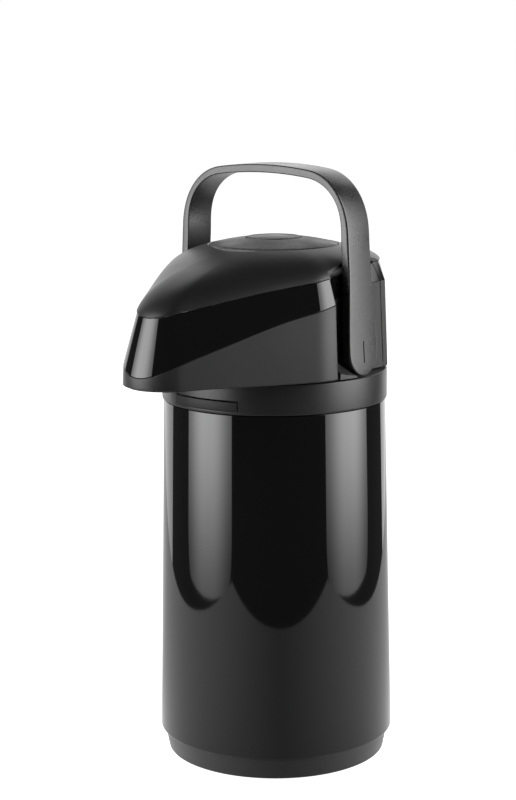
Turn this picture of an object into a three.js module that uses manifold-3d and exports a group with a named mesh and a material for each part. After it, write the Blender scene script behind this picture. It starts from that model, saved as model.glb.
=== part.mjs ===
// Thermal coffee airpot: a glass-lined vacuum jug with a pump head, a pouring beak and a carrying bail.
// Millimetres, +Z up. The origin is the centre of the foot on the ground; the beak points along -Y, and
// +X is the right-hand side of someone standing behind the jug.
import * as THREE from "three";
import { mergeVertices } from "three/addons/utils/BufferGeometryUtils.js";
import Module from "manifold-3d";

const wasm = await Module();
wasm.setup();

// ---------------------------------------------------------------- driving dimensions
const GAP = 0.3; // between pieces that touch
const RUNNING = 0.4; // between pieces that turn or slide on each other
const OVERCUT = 1; // how far a cutter runs past what it cuts
const SEGMENTS = 40; // facets round a large shell
const INNER_SEGMENTS = 24; // facets round what stays hidden
const SMALL_SEGMENTS = 16; // facets round a small part
const HOLE_SEGMENTS = 12; // facets round a pin or a small hole

// body
const BODY_BOTTOM_RADIUS = 78;
const BODY_TOP_RADIUS = 73.2;
const BODY_BOTTOM_Z = 15.6;
const BODY_HEIGHT = 224.4;
const BODY_WALL = 2;
const BODY_EDGE = 1.2; // chamfer of the body's lower edge; the upper one is half of it
const SPIGOT_DEPTH = 8; // how far the base cap and the collar reach into the body shell
const SPIGOT_WALL = 2;

// base
const BASE_BOTTOM_RADIUS = 72.6;
const BASE_TOP_RADIUS = 75.2;
const BASE_EDGE_ROUND = 2;
const BASE_SEAM = 1.2; // visible seam between base cap and body
const BASE_FLOOR = 4;
const FOOT_HEIGHT = 0.8; // how far the rubber foot stands proud
const FOOT_RADIUS = 68;
const FOOT_THICKNESS = 2;

// glass liner
const LINER_BORE_RADIUS = 58.5;
const LINER_OUTER_RADIUS = 65;
const GLASS_WALL = 1.6;
const NECK_BORE_RADIUS = 24;
const LINER_LIFT = 4.4; // lowest glass above the body's lower edge
const LINER_SHOULDER_DROP = 52; // shoulder and mouth of the glass below the body's upper edge
const LINER_MOUTH_DROP = 1;
const LINER_NECK_HEIGHT = 12;
const CUSHION_SHARE = 0.7; // the cushion's radius as a share of the liner's
const BOTTLE_BOTTOM_SHARE = 0.32; // rise of the liner's round bottom as a share of its radius

// collar
const COLLAR_RADIUS = 74.3;
const COLLAR_HEIGHT = 19.7;
const COLLAR_SEAM = 0.6;
const COLLAR_WALL = 2.6;
const COLLAR_RIM_WIDTH = 14;
const COLLAR_DECK_DROP = 9.5;
const DECK_THICKNESS = 3;

// stopper and dip tube
const STOPPER_FLANGE_RADIUS = 36;
const STOPPER_FLANGE = 3;
const STOPPER_DEPTH = 14; // how far the plug reaches into the liner's neck
const SEAL_TOP_DROP = 4.4; // stopper seal below the liner's mouth
const SEAL_HEIGHT = 4.2;
const SEAL_WIDTH = 2.7;
const DIP_TUBE_RADIUS = 5;
const DIP_TUBE_WALL = 1.2;
const DIP_TUBE_CLEARANCE = 6; // below the tube, and how far it stands out of the deck
const AIR_HOLE_RADIUS = 2.4;
const AIR_HOLE_REACH = 14;

// head
const HEAD_SEAM = 1;
const HEAD_RADIUS = 74.6;
const BEAK_REACH = 135.5; // from the axis to the tip of the beak
const NOSE_RADIUS = 27;
const FLANK_ANGLE = 62; // degrees between the beak's axis and the flank's normal
const FLANK_END = new THREE.Vector2(66.5, -41);
const JOIN_ANGLE = 80; // the same angle where the flank meets the round part, inside the channel
const FLANK_BEND = 0.45; // how far each end of the bend behind the flank stays straight, of its length
const JOIN_BEND = 0.35;
const CHANNEL_FRONT_Y = -25.5; // rear edge of the beak's side wall
const CHANNEL_REAR_Y = 20; // the channels run out of the rear wall behind here
const CHANNEL_SLOT = 2.4; // gap between that edge and the pivot plate
const SKIRT_DRAFT = 2; // degrees
const BAND_LEAN = 16; // degrees
const HEAD_WALL = 2.4;
// The two edges of the band are level at the rear and fall towards the nose in two soft bends. Each rise is
// above the head's lower edge, and each fall is a slope.
const SKIRT_EDGE = {
  rise: 57.3,
  bends: [
    { y: 15, length: 15, fall: 0.234 },
    { y: -61.8, length: 10, fall: 0.131 },
  ],
};
const BAND_EDGE = {
  rise: 70.1,
  bends: [
    { y: 20, length: 15, fall: 0.137 },
    { y: -67.4, length: 8, fall: 0.057 },
  ],
};
// The beak's lower edge rises softly towards the nose.
const LOWER_EDGE = { rise: 0, bends: [{ y: -55, length: 20, fall: -0.025 }] };
const NOSE_DIP_LENGTH = 12.5; // this near the tip the skirt's edge also dips round the nose
const NOSE_DIP = 0.021; // per square millimetre
const DOME_RING_RISE = 80.2; // ring round the button above the head's lower edge
const DOME_RING_SLOPE = 0.27;
const DOME_LIP = 0.6;
const HEAD_COLUMNS = 30; // columns on half of the head's outline
const PAN_THICKNESS = 2.2;
const PAN_LIFT = 1; // underside of the pan above the skirt's lower edge
const PAN_HOLE_RADIUS = 22;

// pump
const BUTTON_RADIUS = 41.9;
const BUTTON_CROWN = 5.3;
const BUTTON_TRAVEL = 20;
const BUTTON_SKIRT = 22;
const BUTTON_WALL = 2.4;
const BUTTON_TOP_THICKNESS = 3;
const BUTTON_CLEARANCE = 0.6; // between the button and the dome's ring
const BADGE_RADIUS = 17.5;
const BADGE_HEIGHT = 2.2;
const BADGE_PROUD = 0.5;
const PUMP_WALL = 2;
const PUMP_FLOOR_RISE = 18.7;
const PUMP_FLOOR = 3;
const BELLOWS_RADIUS = 38;
const BELLOWS_FOLD = 5;
const BELLOWS_FOLDS = 4;
const BELLOWS_WALL = 1.2;
const STEM_RADIUS = 5;
const GUIDE_HEIGHT = 29;
const SPRING_RADIUS = 18;
const SPRING_WIRE_RADIUS = 0.9;
const SPRING_TURNS = 5;

// spout
const SPOUT_SETBACK = 26.5; // spout behind the tip of the beak
const SPOUT_RISE = 10.1;
const SPOUT_TUBE_RADIUS = 5;
const SPOUT_TUBE_WALL = 1.2;
const SPOUT_BEND = 6.5;
const NOZZLE_RADIUS = 8;

// handle
const PIVOT_RISE = 15; // pivot above the head's lower edge
const HANDLE_RISE = 117.3; // top of the grip above the pivot
const HANDLE_PIVOT_HALF_WIDTH = 72.5; // outer face of an arm at the pivot
const HANDLE_LEAN = 3.2; // degrees, each arm inwards from the pivot up
const HANDLE_THICKNESS = 5.8;
const HANDLE_CORNER_THICKNESS = 4.6;
const HANDLE_END_RADIUS = 15;
const HANDLE_GRIP_HALF_BREADTH = 12;
const HANDLE_TAPER = 53.7; // the arm narrows over this height above the pivot
const HANDLE_CORNER_RISE = 75.7; // start of the corner above the pivot
const HANDLE_CORNER_X = 36; // end of the corner from the middle of the grip
const HANDLE_CORNER_FULLNESS = 0.56; // 0.55 is a round corner
const HANDLE_CROWN = 2.4;
const HANDLE_BEVEL = 1.6;
const ARM_CLEARANCE = 4.7; // between an arm at the pivot and its pivot plate
const PIVOT_PLATE_THICKNESS = 2.4;
const FLARE_HEIGHT = 11; // the plate's lower front corner flares out below this height
const FLARE_REAR_Y = -4;
const PIVOT_PIN_RADIUS = 4;
const BUSH_WALL = 2;
const BUSH_FLANGE = 1.5;
const BUSH_COLLAR = 2; // how far the flange stands out from the bush
const PIN_HEAD = 2; // thickness of a pin's head, and how far it stands out
const END_POCKET = 2.2; // clearance round the arm's round end

// hinge and latch
const HINGE_OFFSET = 3.3; // hinge axis behind the collar
const HINGE_PIN_RADIUS = 1.6;
const KNUCKLE_RADIUS = 3.6;
const HEAD_KNUCKLE_HALF_WIDTH = 9;
const COLLAR_KNUCKLE_WIDTH = 8;
const KNUCKLE_WEB_HEIGHT = 12;
const LATCH_HALF_WIDTH = 25;
const LATCH_HEIGHT = 6;
const LATCH_DEPTH = 4;
const LATCH_LIFT = 5.2; // middle of the button above the collar's lower edge
const LATCH_FINGER_GAP = 0.8; // slot over the button
const LATCH_PROUD = 0.6;
const LATCH_TRAVEL = 2.5;
const HOOK_HALF_WIDTH = 6;
const HOOK_THICKNESS = 2;

// screws
const SCREW_RADIUS = 1.4;
const SCREW_HEAD_RADIUS = 2.8;
const SCREW_HEAD_HEIGHT = 1.4;
const SCREW_LENGTH = 12;
const SCREW_COUNT = 4;
const SCREW_BOSS_RADIUS = 4;

// ---------------------------------------------------------------- derived places
const FAR = 1000; // reach of a cutter that has no end
const BASE_BOTTOM_Z = FOOT_HEIGHT;
const BASE_TOP_Z = BODY_BOTTOM_Z - BASE_SEAM;
const BODY_TOP_Z = BODY_BOTTOM_Z + BODY_HEIGHT;
const LINER_BOTTOM_Z = BODY_BOTTOM_Z + LINER_LIFT;
const LINER_SHOULDER_Z = BODY_TOP_Z - LINER_SHOULDER_DROP;
const LINER_TOP_Z = BODY_TOP_Z - LINER_MOUTH_DROP;
const NECK_START_Z = LINER_TOP_Z - LINER_NECK_HEIGHT;
const COLLAR_BOTTOM_Z = BODY_TOP_Z + COLLAR_SEAM;
const COLLAR_TOP_Z = COLLAR_BOTTOM_Z + COLLAR_HEIGHT;
const DECK_TOP_Z = COLLAR_TOP_Z - COLLAR_DECK_DROP;
const STOPPER_TOP_Z = DECK_TOP_Z + GAP + STOPPER_FLANGE;
const DECK_BOTTOM_Z = DECK_TOP_Z - DECK_THICKNESS;
const HEAD_BOTTOM_Z = COLLAR_TOP_Z + HEAD_SEAM;
const PAN_BOTTOM_Z = HEAD_BOTTOM_Z + PAN_LIFT;
const PAN_TOP_Z = PAN_BOTTOM_Z + PAN_THICKNESS;
const DOME_RING_Z = HEAD_BOTTOM_Z + DOME_RING_RISE;
const PUMP_FLOOR_Z = HEAD_BOTTOM_Z + PUMP_FLOOR_RISE;
const SPOUT_Y = SPOUT_SETBACK - BEAK_REACH;
const SPOUT_Z = HEAD_BOTTOM_Z + SPOUT_RISE;
const PIVOT_Z = HEAD_BOTTOM_Z + PIVOT_RISE;
const HANDLE_TOP_Z = PIVOT_Z + HANDLE_RISE;
const PIVOT_PLATE_X = HANDLE_PIVOT_HALF_WIDTH - HANDLE_THICKNESS - ARM_CLEARANCE; // its outer face
const HINGE_Y = COLLAR_RADIUS + HINGE_OFFSET;
const HINGE_Z = (COLLAR_TOP_Z + HEAD_BOTTOM_Z) / 2;
const PUMP_BORE = BUTTON_RADIUS + 1.4;
const DOME_HOLE_RADIUS = BUTTON_RADIUS + BUTTON_CLEARANCE;
const BUTTON_UNDER_Z = DOME_RING_Z - BUTTON_TOP_THICKNESS;
const PUMP_FLOOR_TOP_Z = PUMP_FLOOR_Z + PUMP_FLOOR;
const RECESS_X = PIVOT_PLATE_X + GAP;
const LATCH_Z = COLLAR_BOTTOM_Z + LATCH_LIFT;
const LATCH_INNER_Y = COLLAR_RADIUS - LATCH_DEPTH;
const HOOK_Y = -LATCH_INNER_Y + LATCH_TRAVEL + GAP + HOOK_THICKNESS; // rear face of the hook
const radians = THREE.MathUtils.degToRad;
const AXIS_X = new THREE.Vector3(1, 0, 0);
const AXIS_Y = new THREE.Vector3(0, 1, 0);
const AXIS_Z = new THREE.Vector3(0, 0, 1);

// ---------------------------------------------------------------- solids
// The geometry with shared vertices merged and its faces pointing out.
function closed(geometry) {
  const bare = geometry.clone();
  bare.deleteAttribute("normal");
  bare.deleteAttribute("uv");
  const merged = mergeVertices(bare, 1e-4);
  const place = merged.getAttribute("position");
  const corners = Array.from(merged.getIndex().array);
  const kept = [];
  let volume = 0;
  const a = new THREE.Vector3();
  const b = new THREE.Vector3();
  const c = new THREE.Vector3();
  for (let i = 0; i < corners.length; i += 3) {
    const [p, q, r] = corners.slice(i, i + 3);
    if (p === q || q === r || r === p) continue;
    a.fromBufferAttribute(place, p);
    b.fromBufferAttribute(place, q);
    c.fromBufferAttribute(place, r);
    volume += a.dot(b.cross(c));
    kept.push(p, q, r);
  }
  if (volume < 0) {
    for (let i = 0; i < kept.length; i += 3) {
      [kept[i + 1], kept[i + 2]] = [kept[i + 2], kept[i + 1]];
    }
  }
  merged.setIndex(kept);
  return merged;
}

function toManifold(geometry) {
  const solid = closed(geometry);
  return new wasm.Manifold(
    new wasm.Mesh({
      numProp: 3,
      vertProperties: new Float32Array(solid.getAttribute("position").array),
      triVerts: new Uint32Array(solid.getIndex().array),
    }),
  );
}

function fromManifold(solid) {
  const mesh = solid.getMesh();
  const geometry = new THREE.BufferGeometry();
  geometry.setAttribute("position", new THREE.BufferAttribute(mesh.vertProperties, 3));
  geometry.setIndex(Array.from(mesh.triVerts));
  return geometry;
}

function combine(geometry, { add = [], cut = [], keep = [] }) {
  let solid = toManifold(geometry);
  for (const other of add) solid = solid.add(toManifold(other));
  for (const other of cut) solid = solid.subtract(toManifold(other));
  for (const other of keep) solid = solid.intersect(toManifold(other));
  return fromManifold(solid);
}

// A box from its low and high corners.
function box(low, high) {
  const size = high.map((value, axis) => value - low[axis]);
  const middle = high.map((value, axis) => (value + low[axis]) / 2);
  return new THREE.BoxGeometry(...size).translate(...middle);
}

// A solid of revolution about Z from [radius, z] points. The profile closes on itself unless it starts
// and ends on the axis.
function turned(profile, segments = SEGMENTS) {
  const points = profile.map(([r, z]) => new THREE.Vector2(r, z));
  const onAxis = profile[0][0] === 0 && profile.at(-1)[0] === 0;
  if (!onAxis) points.push(points[0].clone());
  return new THREE.LatheGeometry(points, segments).rotateX(Math.PI / 2);
}

function disc(radius, low, high, segments = SMALL_SEGMENTS) {
  return turned([[0, low], [radius, low], [radius, high], [0, high]], segments);
}

function ring(inner, outer, low, high, segments = SEGMENTS) {
  return turned([[inner, low], [outer, low], [outer, high], [inner, high]], segments);
}

// A cylinder along X, from x0 to x1, centred on (y, z).
function rodX(radius, x0, x1, y, z, segments = SMALL_SEGMENTS) {
  return disc(radius, x0, x1, segments).rotateY(Math.PI / 2).translate(0, y, z);
}

// A closed tube along a curve, with a hole unless bore is 0.
function tube(curve, radius, bore, steps, sides) {
  const shape = new THREE.Shape().absarc(0, 0, radius, 0, 2 * Math.PI);
  if (bore > 0) shape.holes.push(new THREE.Path().absarc(0, 0, bore, 0, 2 * Math.PI, true));
  return new THREE.ExtrudeGeometry(shape, { steps, curveSegments: sides / 2, extrudePath: curve });
}

// Columns are closed loops of points with equal counts. They join into a ring round the axis, or into a
// bar with flat ends.
function loft(columns, isRing) {
  const count = columns[0].length;
  const positions = columns.flat().flatMap((p) => [p.x, p.y, p.z]);
  const corners = [];
  const last = isRing ? columns.length : columns.length - 1;
  for (let i = 0; i < last; i++) {
    const here = i * count;
    const there = ((i + 1) % columns.length) * count;
    for (let j = 0; j < count; j++) {
      const k = (j + 1) % count;
      corners.push(here + j, there + j, there + k, here + j, there + k, here + k);
    }
  }
  if (!isRing) {
    const end = (columns.length - 1) * count;
    for (let j = 1; j < count - 1; j++) {
      corners.push(0, j, j + 1, end, end + j + 1, end + j);
    }
  }
  const geometry = new THREE.BufferGeometry();
  geometry.setAttribute("position", new THREE.Float32BufferAttribute(positions, 3));
  geometry.setIndex(corners);
  return geometry;
}

// ---------------------------------------------------------------- base, body and liner
function bodyRadiusAt(z) {
  const share = (z - BODY_BOTTOM_Z) / (BODY_TOP_Z - BODY_BOTTOM_Z);
  return THREE.MathUtils.lerp(BODY_BOTTOM_RADIUS, BODY_TOP_RADIUS, share);
}

function footPad() {
  return disc(FOOT_RADIUS, 0, FOOT_THICKNESS, SEGMENTS);
}

function baseCap() {
  const spigotTop = BODY_BOTTOM_Z + SPIGOT_DEPTH;
  const spigot = bodyRadiusAt(spigotTop) - BODY_WALL - GAP;
  const floorTop = BASE_BOTTOM_Z + BASE_FLOOR;
  const pocketTop = FOOT_THICKNESS + GAP;
  return turned([
    [0, pocketTop],
    [FOOT_RADIUS + GAP, pocketTop],
    [FOOT_RADIUS + GAP, BASE_BOTTOM_Z],
    [BASE_BOTTOM_RADIUS - BASE_EDGE_ROUND * 0.5, BASE_BOTTOM_Z],
    [BASE_BOTTOM_RADIUS, BASE_BOTTOM_Z + BASE_EDGE_ROUND * 0.5],
    [BASE_TOP_RADIUS, BASE_TOP_Z],
    [spigot, BASE_TOP_Z],
    [spigot, spigotTop],
    [spigot - SPIGOT_WALL, spigotTop],
    [spigot - 2 * SPIGOT_WALL, floorTop],
    [0, floorTop],
  ]);
}

function bodyShell() {
  return turned([
    [BODY_BOTTOM_RADIUS - BODY_EDGE, BODY_BOTTOM_Z],
    [BODY_BOTTOM_RADIUS, BODY_BOTTOM_Z + BODY_EDGE],
    [BODY_TOP_RADIUS, BODY_TOP_Z - BODY_EDGE / 2],
    [BODY_TOP_RADIUS - BODY_EDGE / 2, BODY_TOP_Z],
    [BODY_TOP_RADIUS - BODY_WALL, BODY_TOP_Z],
    [BODY_BOTTOM_RADIUS - BODY_WALL, BODY_BOTTOM_Z],
  ]);
}

// Half of a bottle's outline, from the bottom on the axis up to the mouth.
function bottleOutline(radius, bottom, neck, shoulder, neckStart, top) {
  const points = [];
  const bottomRise = radius * BOTTLE_BOTTOM_SHARE;
  for (let i = 0; i <= 4; i++) {
    const turn = (i / 4) * Math.PI * 0.5;
    points.push([radius * Math.sin(turn), bottom + bottomRise * (1 - Math.cos(turn))]);
  }
  const shoulderRise = neckStart - shoulder;
  for (let i = 0; i <= 5; i++) {
    const turn = (i / 5) * Math.PI * 0.5;
    const r = neck + (radius - neck) * Math.cos(turn);
    points.push([r, shoulder + shoulderRise * Math.sin(turn)]);
  }
  points.push([neck, top]);
  return points;
}

function glassOuter() {
  const neck = NECK_BORE_RADIUS + 2 * GLASS_WALL + 1.6;
  const top = LINER_TOP_Z - 4;
  const outside = bottleOutline(
    LINER_OUTER_RADIUS, LINER_BOTTOM_Z, neck, LINER_SHOULDER_Z, NECK_START_Z, top,
  );
  const inside = bottleOutline(
    LINER_OUTER_RADIUS - GLASS_WALL, LINER_BOTTOM_Z + GLASS_WALL, neck - GLASS_WALL,
    LINER_SHOULDER_Z, NECK_START_Z - GLASS_WALL, top,
  );
  return turned([...outside, ...inside.reverse()], INNER_SEGMENTS);
}

function glassInner() {
  const bottom = LINER_BOTTOM_Z + LINER_OUTER_RADIUS - LINER_BORE_RADIUS;
  const shoulder = LINER_SHOULDER_Z - 4;
  const neckStart = NECK_START_Z - 6;
  const outside = bottleOutline(
    LINER_BORE_RADIUS + GLASS_WALL, bottom - GLASS_WALL, NECK_BORE_RADIUS + GLASS_WALL,
    shoulder, neckStart, LINER_TOP_Z,
  );
  const inside = bottleOutline(
    LINER_BORE_RADIUS, bottom, NECK_BORE_RADIUS, shoulder, neckStart - GLASS_WALL, LINER_TOP_Z,
  );
  return turned([...outside, ...inside.reverse()], INNER_SEGMENTS);
}

function linerCushion() {
  const radius = LINER_OUTER_RADIUS * CUSHION_SHARE;
  const low = BASE_BOTTOM_Z + BASE_FLOOR + GAP;
  const rise = LINER_OUTER_RADIUS * BOTTLE_BOTTOM_SHARE;
  const clearance = 1.5;
  const points = [[0, low], [radius, low]];
  for (let i = 4; i >= 0; i--) {
    const turn = (i / 4) * Math.asin(CUSHION_SHARE);
    const z = LINER_BOTTOM_Z + rise * (1 - Math.cos(turn)) - clearance;
    points.push([LINER_OUTER_RADIUS * Math.sin(turn), z]);
  }
  return turned(points, INNER_SEGMENTS);
}

function linerGasket() {
  const inner = NECK_BORE_RADIUS + 0.4;
  const outer = NECK_BORE_RADIUS + 8;
  return ring(inner, outer, LINER_TOP_Z + GAP, DECK_BOTTOM_Z - GAP, SMALL_SEGMENTS);
}

// ---------------------------------------------------------------- collar, stopper and dip tube
function collarRing() {
  const spigot = BODY_TOP_RADIUS - BODY_WALL - GAP;
  const edge = 0.8;
  const rimInner = COLLAR_RADIUS - COLLAR_RIM_WIDTH;
  const shell = turned([
    [spigot - SPIGOT_WALL, BODY_TOP_Z - SPIGOT_DEPTH],
    [spigot, BODY_TOP_Z - SPIGOT_DEPTH],
    [spigot, COLLAR_BOTTOM_Z],
    [COLLAR_RADIUS - edge, COLLAR_BOTTOM_Z],
    [COLLAR_RADIUS, COLLAR_BOTTOM_Z + edge],
    [COLLAR_RADIUS, COLLAR_TOP_Z - edge],
    [COLLAR_RADIUS - edge, COLLAR_TOP_Z],
    [rimInner, COLLAR_TOP_Z],
    [rimInner, DECK_TOP_Z],
    [NECK_BORE_RADIUS + 3, DECK_TOP_Z],
    [NECK_BORE_RADIUS + 3, DECK_BOTTOM_Z],
    [rimInner - DECK_THICKNESS, DECK_BOTTOM_Z],
    [rimInner + DECK_THICKNESS, COLLAR_TOP_Z - DECK_THICKNESS],
    [spigot - SPIGOT_WALL, COLLAR_TOP_Z - DECK_THICKNESS],
  ]);
  const reach = HEAD_KNUCKLE_HALF_WIDTH + RUNNING;
  return combine(shell, {
    add: [...collarLug(-1), ...collarLug(1)],
    cut: [
      rodX(KNUCKLE_RADIUS + RUNNING, -reach, reach, HINGE_Y, HINGE_Z),
      rodX(HINGE_PIN_RADIUS + GAP, -FAR, FAR, HINGE_Y, HINGE_Z),
      latchPocket(),
      hookSlot(),
    ],
  });
}

// One of the collar's two hinge knuckles, with the web under it.
function collarLug(side) {
  const near = side * (HEAD_KNUCKLE_HALF_WIDTH + RUNNING);
  const far = near + side * COLLAR_KNUCKLE_WIDTH;
  const [x0, x1] = [Math.min(near, far), Math.max(near, far)];
  const web = box(
    [x0, COLLAR_RADIUS - COLLAR_WALL, COLLAR_TOP_Z - KNUCKLE_WEB_HEIGHT],
    [x1, HINGE_Y + KNUCKLE_RADIUS - RUNNING, HINGE_Z],
  );
  return [rodX(KNUCKLE_RADIUS, x0, x1, HINGE_Y, HINGE_Z), web];
}

function latchPocket() {
  const half = LATCH_HALF_WIDTH + RUNNING;
  return box(
    [-half, -COLLAR_RADIUS - OVERCUT, LATCH_Z - LATCH_HEIGHT / 2 - RUNNING],
    [half, -LATCH_INNER_Y + LATCH_TRAVEL + RUNNING, LATCH_Z + LATCH_HEIGHT / 2 + LATCH_FINGER_GAP],
  );
}

// The slot through the collar's rim that the head's hook drops into.
function hookSlot() {
  const clearance = 1.2;
  const half = HOOK_HALF_WIDTH + clearance;
  return box(
    [-half, HOOK_Y - HOOK_THICKNESS - clearance, COLLAR_TOP_Z - DECK_THICKNESS - OVERCUT],
    [half, HOOK_Y + clearance, COLLAR_TOP_Z + OVERCUT],
  );
}

function stopper() {
  const bore = DIP_TUBE_RADIUS + GAP;
  const low = LINER_TOP_Z - STOPPER_DEPTH;
  const seat = DECK_TOP_Z + GAP;
  const grooveLow = LINER_TOP_Z - SEAL_TOP_DROP - SEAL_HEIGHT - GAP;
  const grooveHigh = LINER_TOP_Z - SEAL_TOP_DROP + GAP;
  const grooveRadius = NECK_BORE_RADIUS - SEAL_WIDTH - 2 * GAP;
  const plug = turned([
    [bore, low],
    [NECK_BORE_RADIUS - 2, low],
    [NECK_BORE_RADIUS - 1.4, grooveLow],
    [grooveRadius, grooveLow],
    [grooveRadius, grooveHigh],
    [NECK_BORE_RADIUS - 1.4, grooveHigh],
    [NECK_BORE_RADIUS - 0.6, LINER_TOP_Z],
    [NECK_BORE_RADIUS - 0.6, seat],
    [STOPPER_FLANGE_RADIUS, seat],
    [STOPPER_FLANGE_RADIUS, STOPPER_TOP_Z],
    [bore, STOPPER_TOP_Z],
  ], INNER_SEGMENTS);
  const airHole = disc(AIR_HOLE_RADIUS, low - OVERCUT, STOPPER_TOP_Z + OVERCUT, HOLE_SEGMENTS);
  return combine(plug, { cut: [airHole.translate(AIR_HOLE_REACH, 0, 0)] });
}

function stopperSeal() {
  const high = LINER_TOP_Z - SEAL_TOP_DROP;
  const outer = NECK_BORE_RADIUS - GAP;
  return ring(outer - SEAL_WIDTH, outer, high - SEAL_HEIGHT, high, INNER_SEGMENTS);
}

function dipTube() {
  const low = LINER_BOTTOM_Z + LINER_OUTER_RADIUS - LINER_BORE_RADIUS + DIP_TUBE_CLEARANCE;
  const high = DECK_TOP_Z + DIP_TUBE_CLEARANCE;
  return ring(DIP_TUBE_RADIUS - DIP_TUBE_WALL, DIP_TUBE_RADIUS, low, high, HOLE_SEGMENTS);
}

function hingePin() {
  const half = HEAD_KNUCKLE_HALF_WIDTH + RUNNING + COLLAR_KNUCKLE_WIDTH;
  return rodX(HINGE_PIN_RADIUS, -half, half, HINGE_Y, HINGE_Z, HOLE_SEGMENTS);
}

// The release button follows the collar's curve and stands slightly proud of it.
function latchButton() {
  const block = box(
    [-LATCH_HALF_WIDTH, -COLLAR_RADIUS - LATCH_DEPTH, LATCH_Z - LATCH_HEIGHT / 2],
    [LATCH_HALF_WIDTH, -LATCH_INNER_Y, LATCH_Z + LATCH_HEIGHT / 2],
  );
  const curve = disc(COLLAR_RADIUS + LATCH_PROUD, 0, FAR, SEGMENTS * 2);
  return combine(block, { keep: [curve] });
}

// ---------------------------------------------------------------- head shells
// Height of an edge of the band over a point of the outline.
function edgeZ(edge, y) {
  return edge.bends.reduce((z, bend) => {
    const ahead = bend.y - y;
    return z - (bend.fall * (Math.hypot(ahead, bend.length) + ahead)) / 2;
  }, HEAD_BOTTOM_Z + edge.rise);
}

function skirtTopZ(y) {
  const ahead = Math.max(0, NOSE_DIP_LENGTH - BEAK_REACH - y);
  return edgeZ(SKIRT_EDGE, y) - NOSE_DIP * ahead ** 2;
}

// The head's lower outline, as equally spaced points with outward normals, anticlockwise from the nose.
function headOutline() {
  const noseY = -(BEAK_REACH - NOSE_RADIUS);
  const flank = radians(FLANK_ANGLE);
  const along = new THREE.Vector2(Math.cos(flank), Math.sin(flank));
  const joinAngle = Math.asin((-CHANNEL_FRONT_Y - 4) / HEAD_RADIUS);
  const join = new THREE.Vector2(Math.cos(joinAngle), -Math.sin(joinAngle)).multiplyScalar(HEAD_RADIUS);
  const joinTurn = radians(JOIN_ANGLE);
  const joinAlong = new THREE.Vector2(Math.cos(joinTurn), Math.sin(joinTurn));
  const bend = FLANK_END.distanceTo(join);
  const half = new THREE.Path();
  half.moveTo(0, -BEAK_REACH);
  half.absarc(0, noseY, NOSE_RADIUS, -Math.PI / 2, -Math.PI / 2 + flank);
  half.lineTo(FLANK_END.x, FLANK_END.y);
  half.bezierCurveTo(
    FLANK_END.x + along.x * bend * FLANK_BEND, FLANK_END.y + along.y * bend * FLANK_BEND,
    join.x - joinAlong.x * bend * JOIN_BEND, join.y - joinAlong.y * bend * JOIN_BEND,
    join.x, join.y,
  );
  half.absarc(0, 0, HEAD_RADIUS, -joinAngle, Math.PI / 2);
  const right = half.getSpacedPoints(HEAD_COLUMNS);
  right[0].x = 0;
  right.at(-1).x = 0;
  const left = right.slice(1, -1).reverse().map((p) => new THREE.Vector2(-p.x, p.y));
  const points = [...right, ...left];
  return points.map((place, i) => {
    const before = points[(i + points.length - 1) % points.length];
    const after = points[(i + 1) % points.length];
    const run = after.clone().sub(before).normalize();
    return { place, normal: new THREE.Vector2(run.y, -run.x) };
  });
}

const OUTLINE = headOutline();

// A point of the head's wall: the outline's column, moved inwards by inset, at height z.
function wallPoint(column, inset, z) {
  const { place, normal } = column;
  return new THREE.Vector3(place.x - normal.x * inset, place.y - normal.y * inset, z);
}

// Heights and insets of the two edges of the band at a column.
function wallLevels(column) {
  const skirtTop = skirtTopZ(column.place.y);
  const bandTop = edgeZ(BAND_EDGE, column.place.y);
  const skirtInset = Math.tan(radians(SKIRT_DRAFT)) * (skirtTop - HEAD_BOTTOM_Z);
  const bandInset = skirtInset + Math.tan(radians(BAND_LEAN)) * (bandTop - skirtTop);
  return { skirtTop, bandTop, skirtInset, bandInset };
}

function skirtColumn(column) {
  const { skirtTop, skirtInset } = wallLevels(column);
  const skirtBottom = edgeZ(LOWER_EDGE, column.place.y);
  return [
    wallPoint(column, 0, skirtBottom),
    wallPoint(column, skirtInset, skirtTop),
    wallPoint(column, skirtInset + HEAD_WALL, skirtTop),
    wallPoint(column, HEAD_WALL, skirtBottom),
  ];
}

function bandColumn(column) {
  const { skirtTop, bandTop, skirtInset, bandInset } = wallLevels(column);
  return [
    wallPoint(column, skirtInset, skirtTop + GAP),
    wallPoint(column, bandInset, bandTop),
    wallPoint(column, bandInset + HEAD_WALL, bandTop),
    wallPoint(column, skirtInset + HEAD_WALL, skirtTop + GAP),
  ];
}

// Everything outside the inner faces of the skirt and the band, with a clearance.
function wallEnvelope(column) {
  const { skirtTop, bandTop, skirtInset, bandInset } = wallLevels(column);
  const inner = HEAD_WALL + GAP;
  const outer = -HEAD_RADIUS / 4;
  return [
    wallPoint(column, outer, HEAD_BOTTOM_Z - OVERCUT),
    wallPoint(column, outer, bandTop + OVERCUT),
    wallPoint(column, bandInset + inner, bandTop + OVERCUT),
    wallPoint(column, skirtInset + inner, skirtTop),
    wallPoint(column, inner, HEAD_BOTTOM_Z - OVERCUT),
  ];
}

// Side view of the dome at a column, from the lip over the band to the ring round the button.
function domeRib(column, shift) {
  const { bandTop, bandInset } = wallLevels(column);
  const start = wallPoint(column, bandInset - DOME_LIP + shift, bandTop + GAP);
  const plan = new THREE.Vector2(start.x, start.y);
  const end = plan.clone().setLength(DOME_HOLE_RADIUS);
  const run = plan.distanceTo(end);
  const rise = DOME_RING_Z - shift - start.z;
  const profile = new THREE.CubicBezierCurve(
    new THREE.Vector2(0, 0),
    new THREE.Vector2(run * 0.08, rise * 0.52),
    new THREE.Vector2(run * 0.5, rise - run * 0.5 * DOME_RING_SLOPE),
    new THREE.Vector2(run, rise),
  );
  return profile.getPoints(5).map((p) => {
    const flat = plan.clone().lerp(end, p.x / run);
    return new THREE.Vector3(flat.x, flat.y, start.z + p.y);
  });
}

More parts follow.
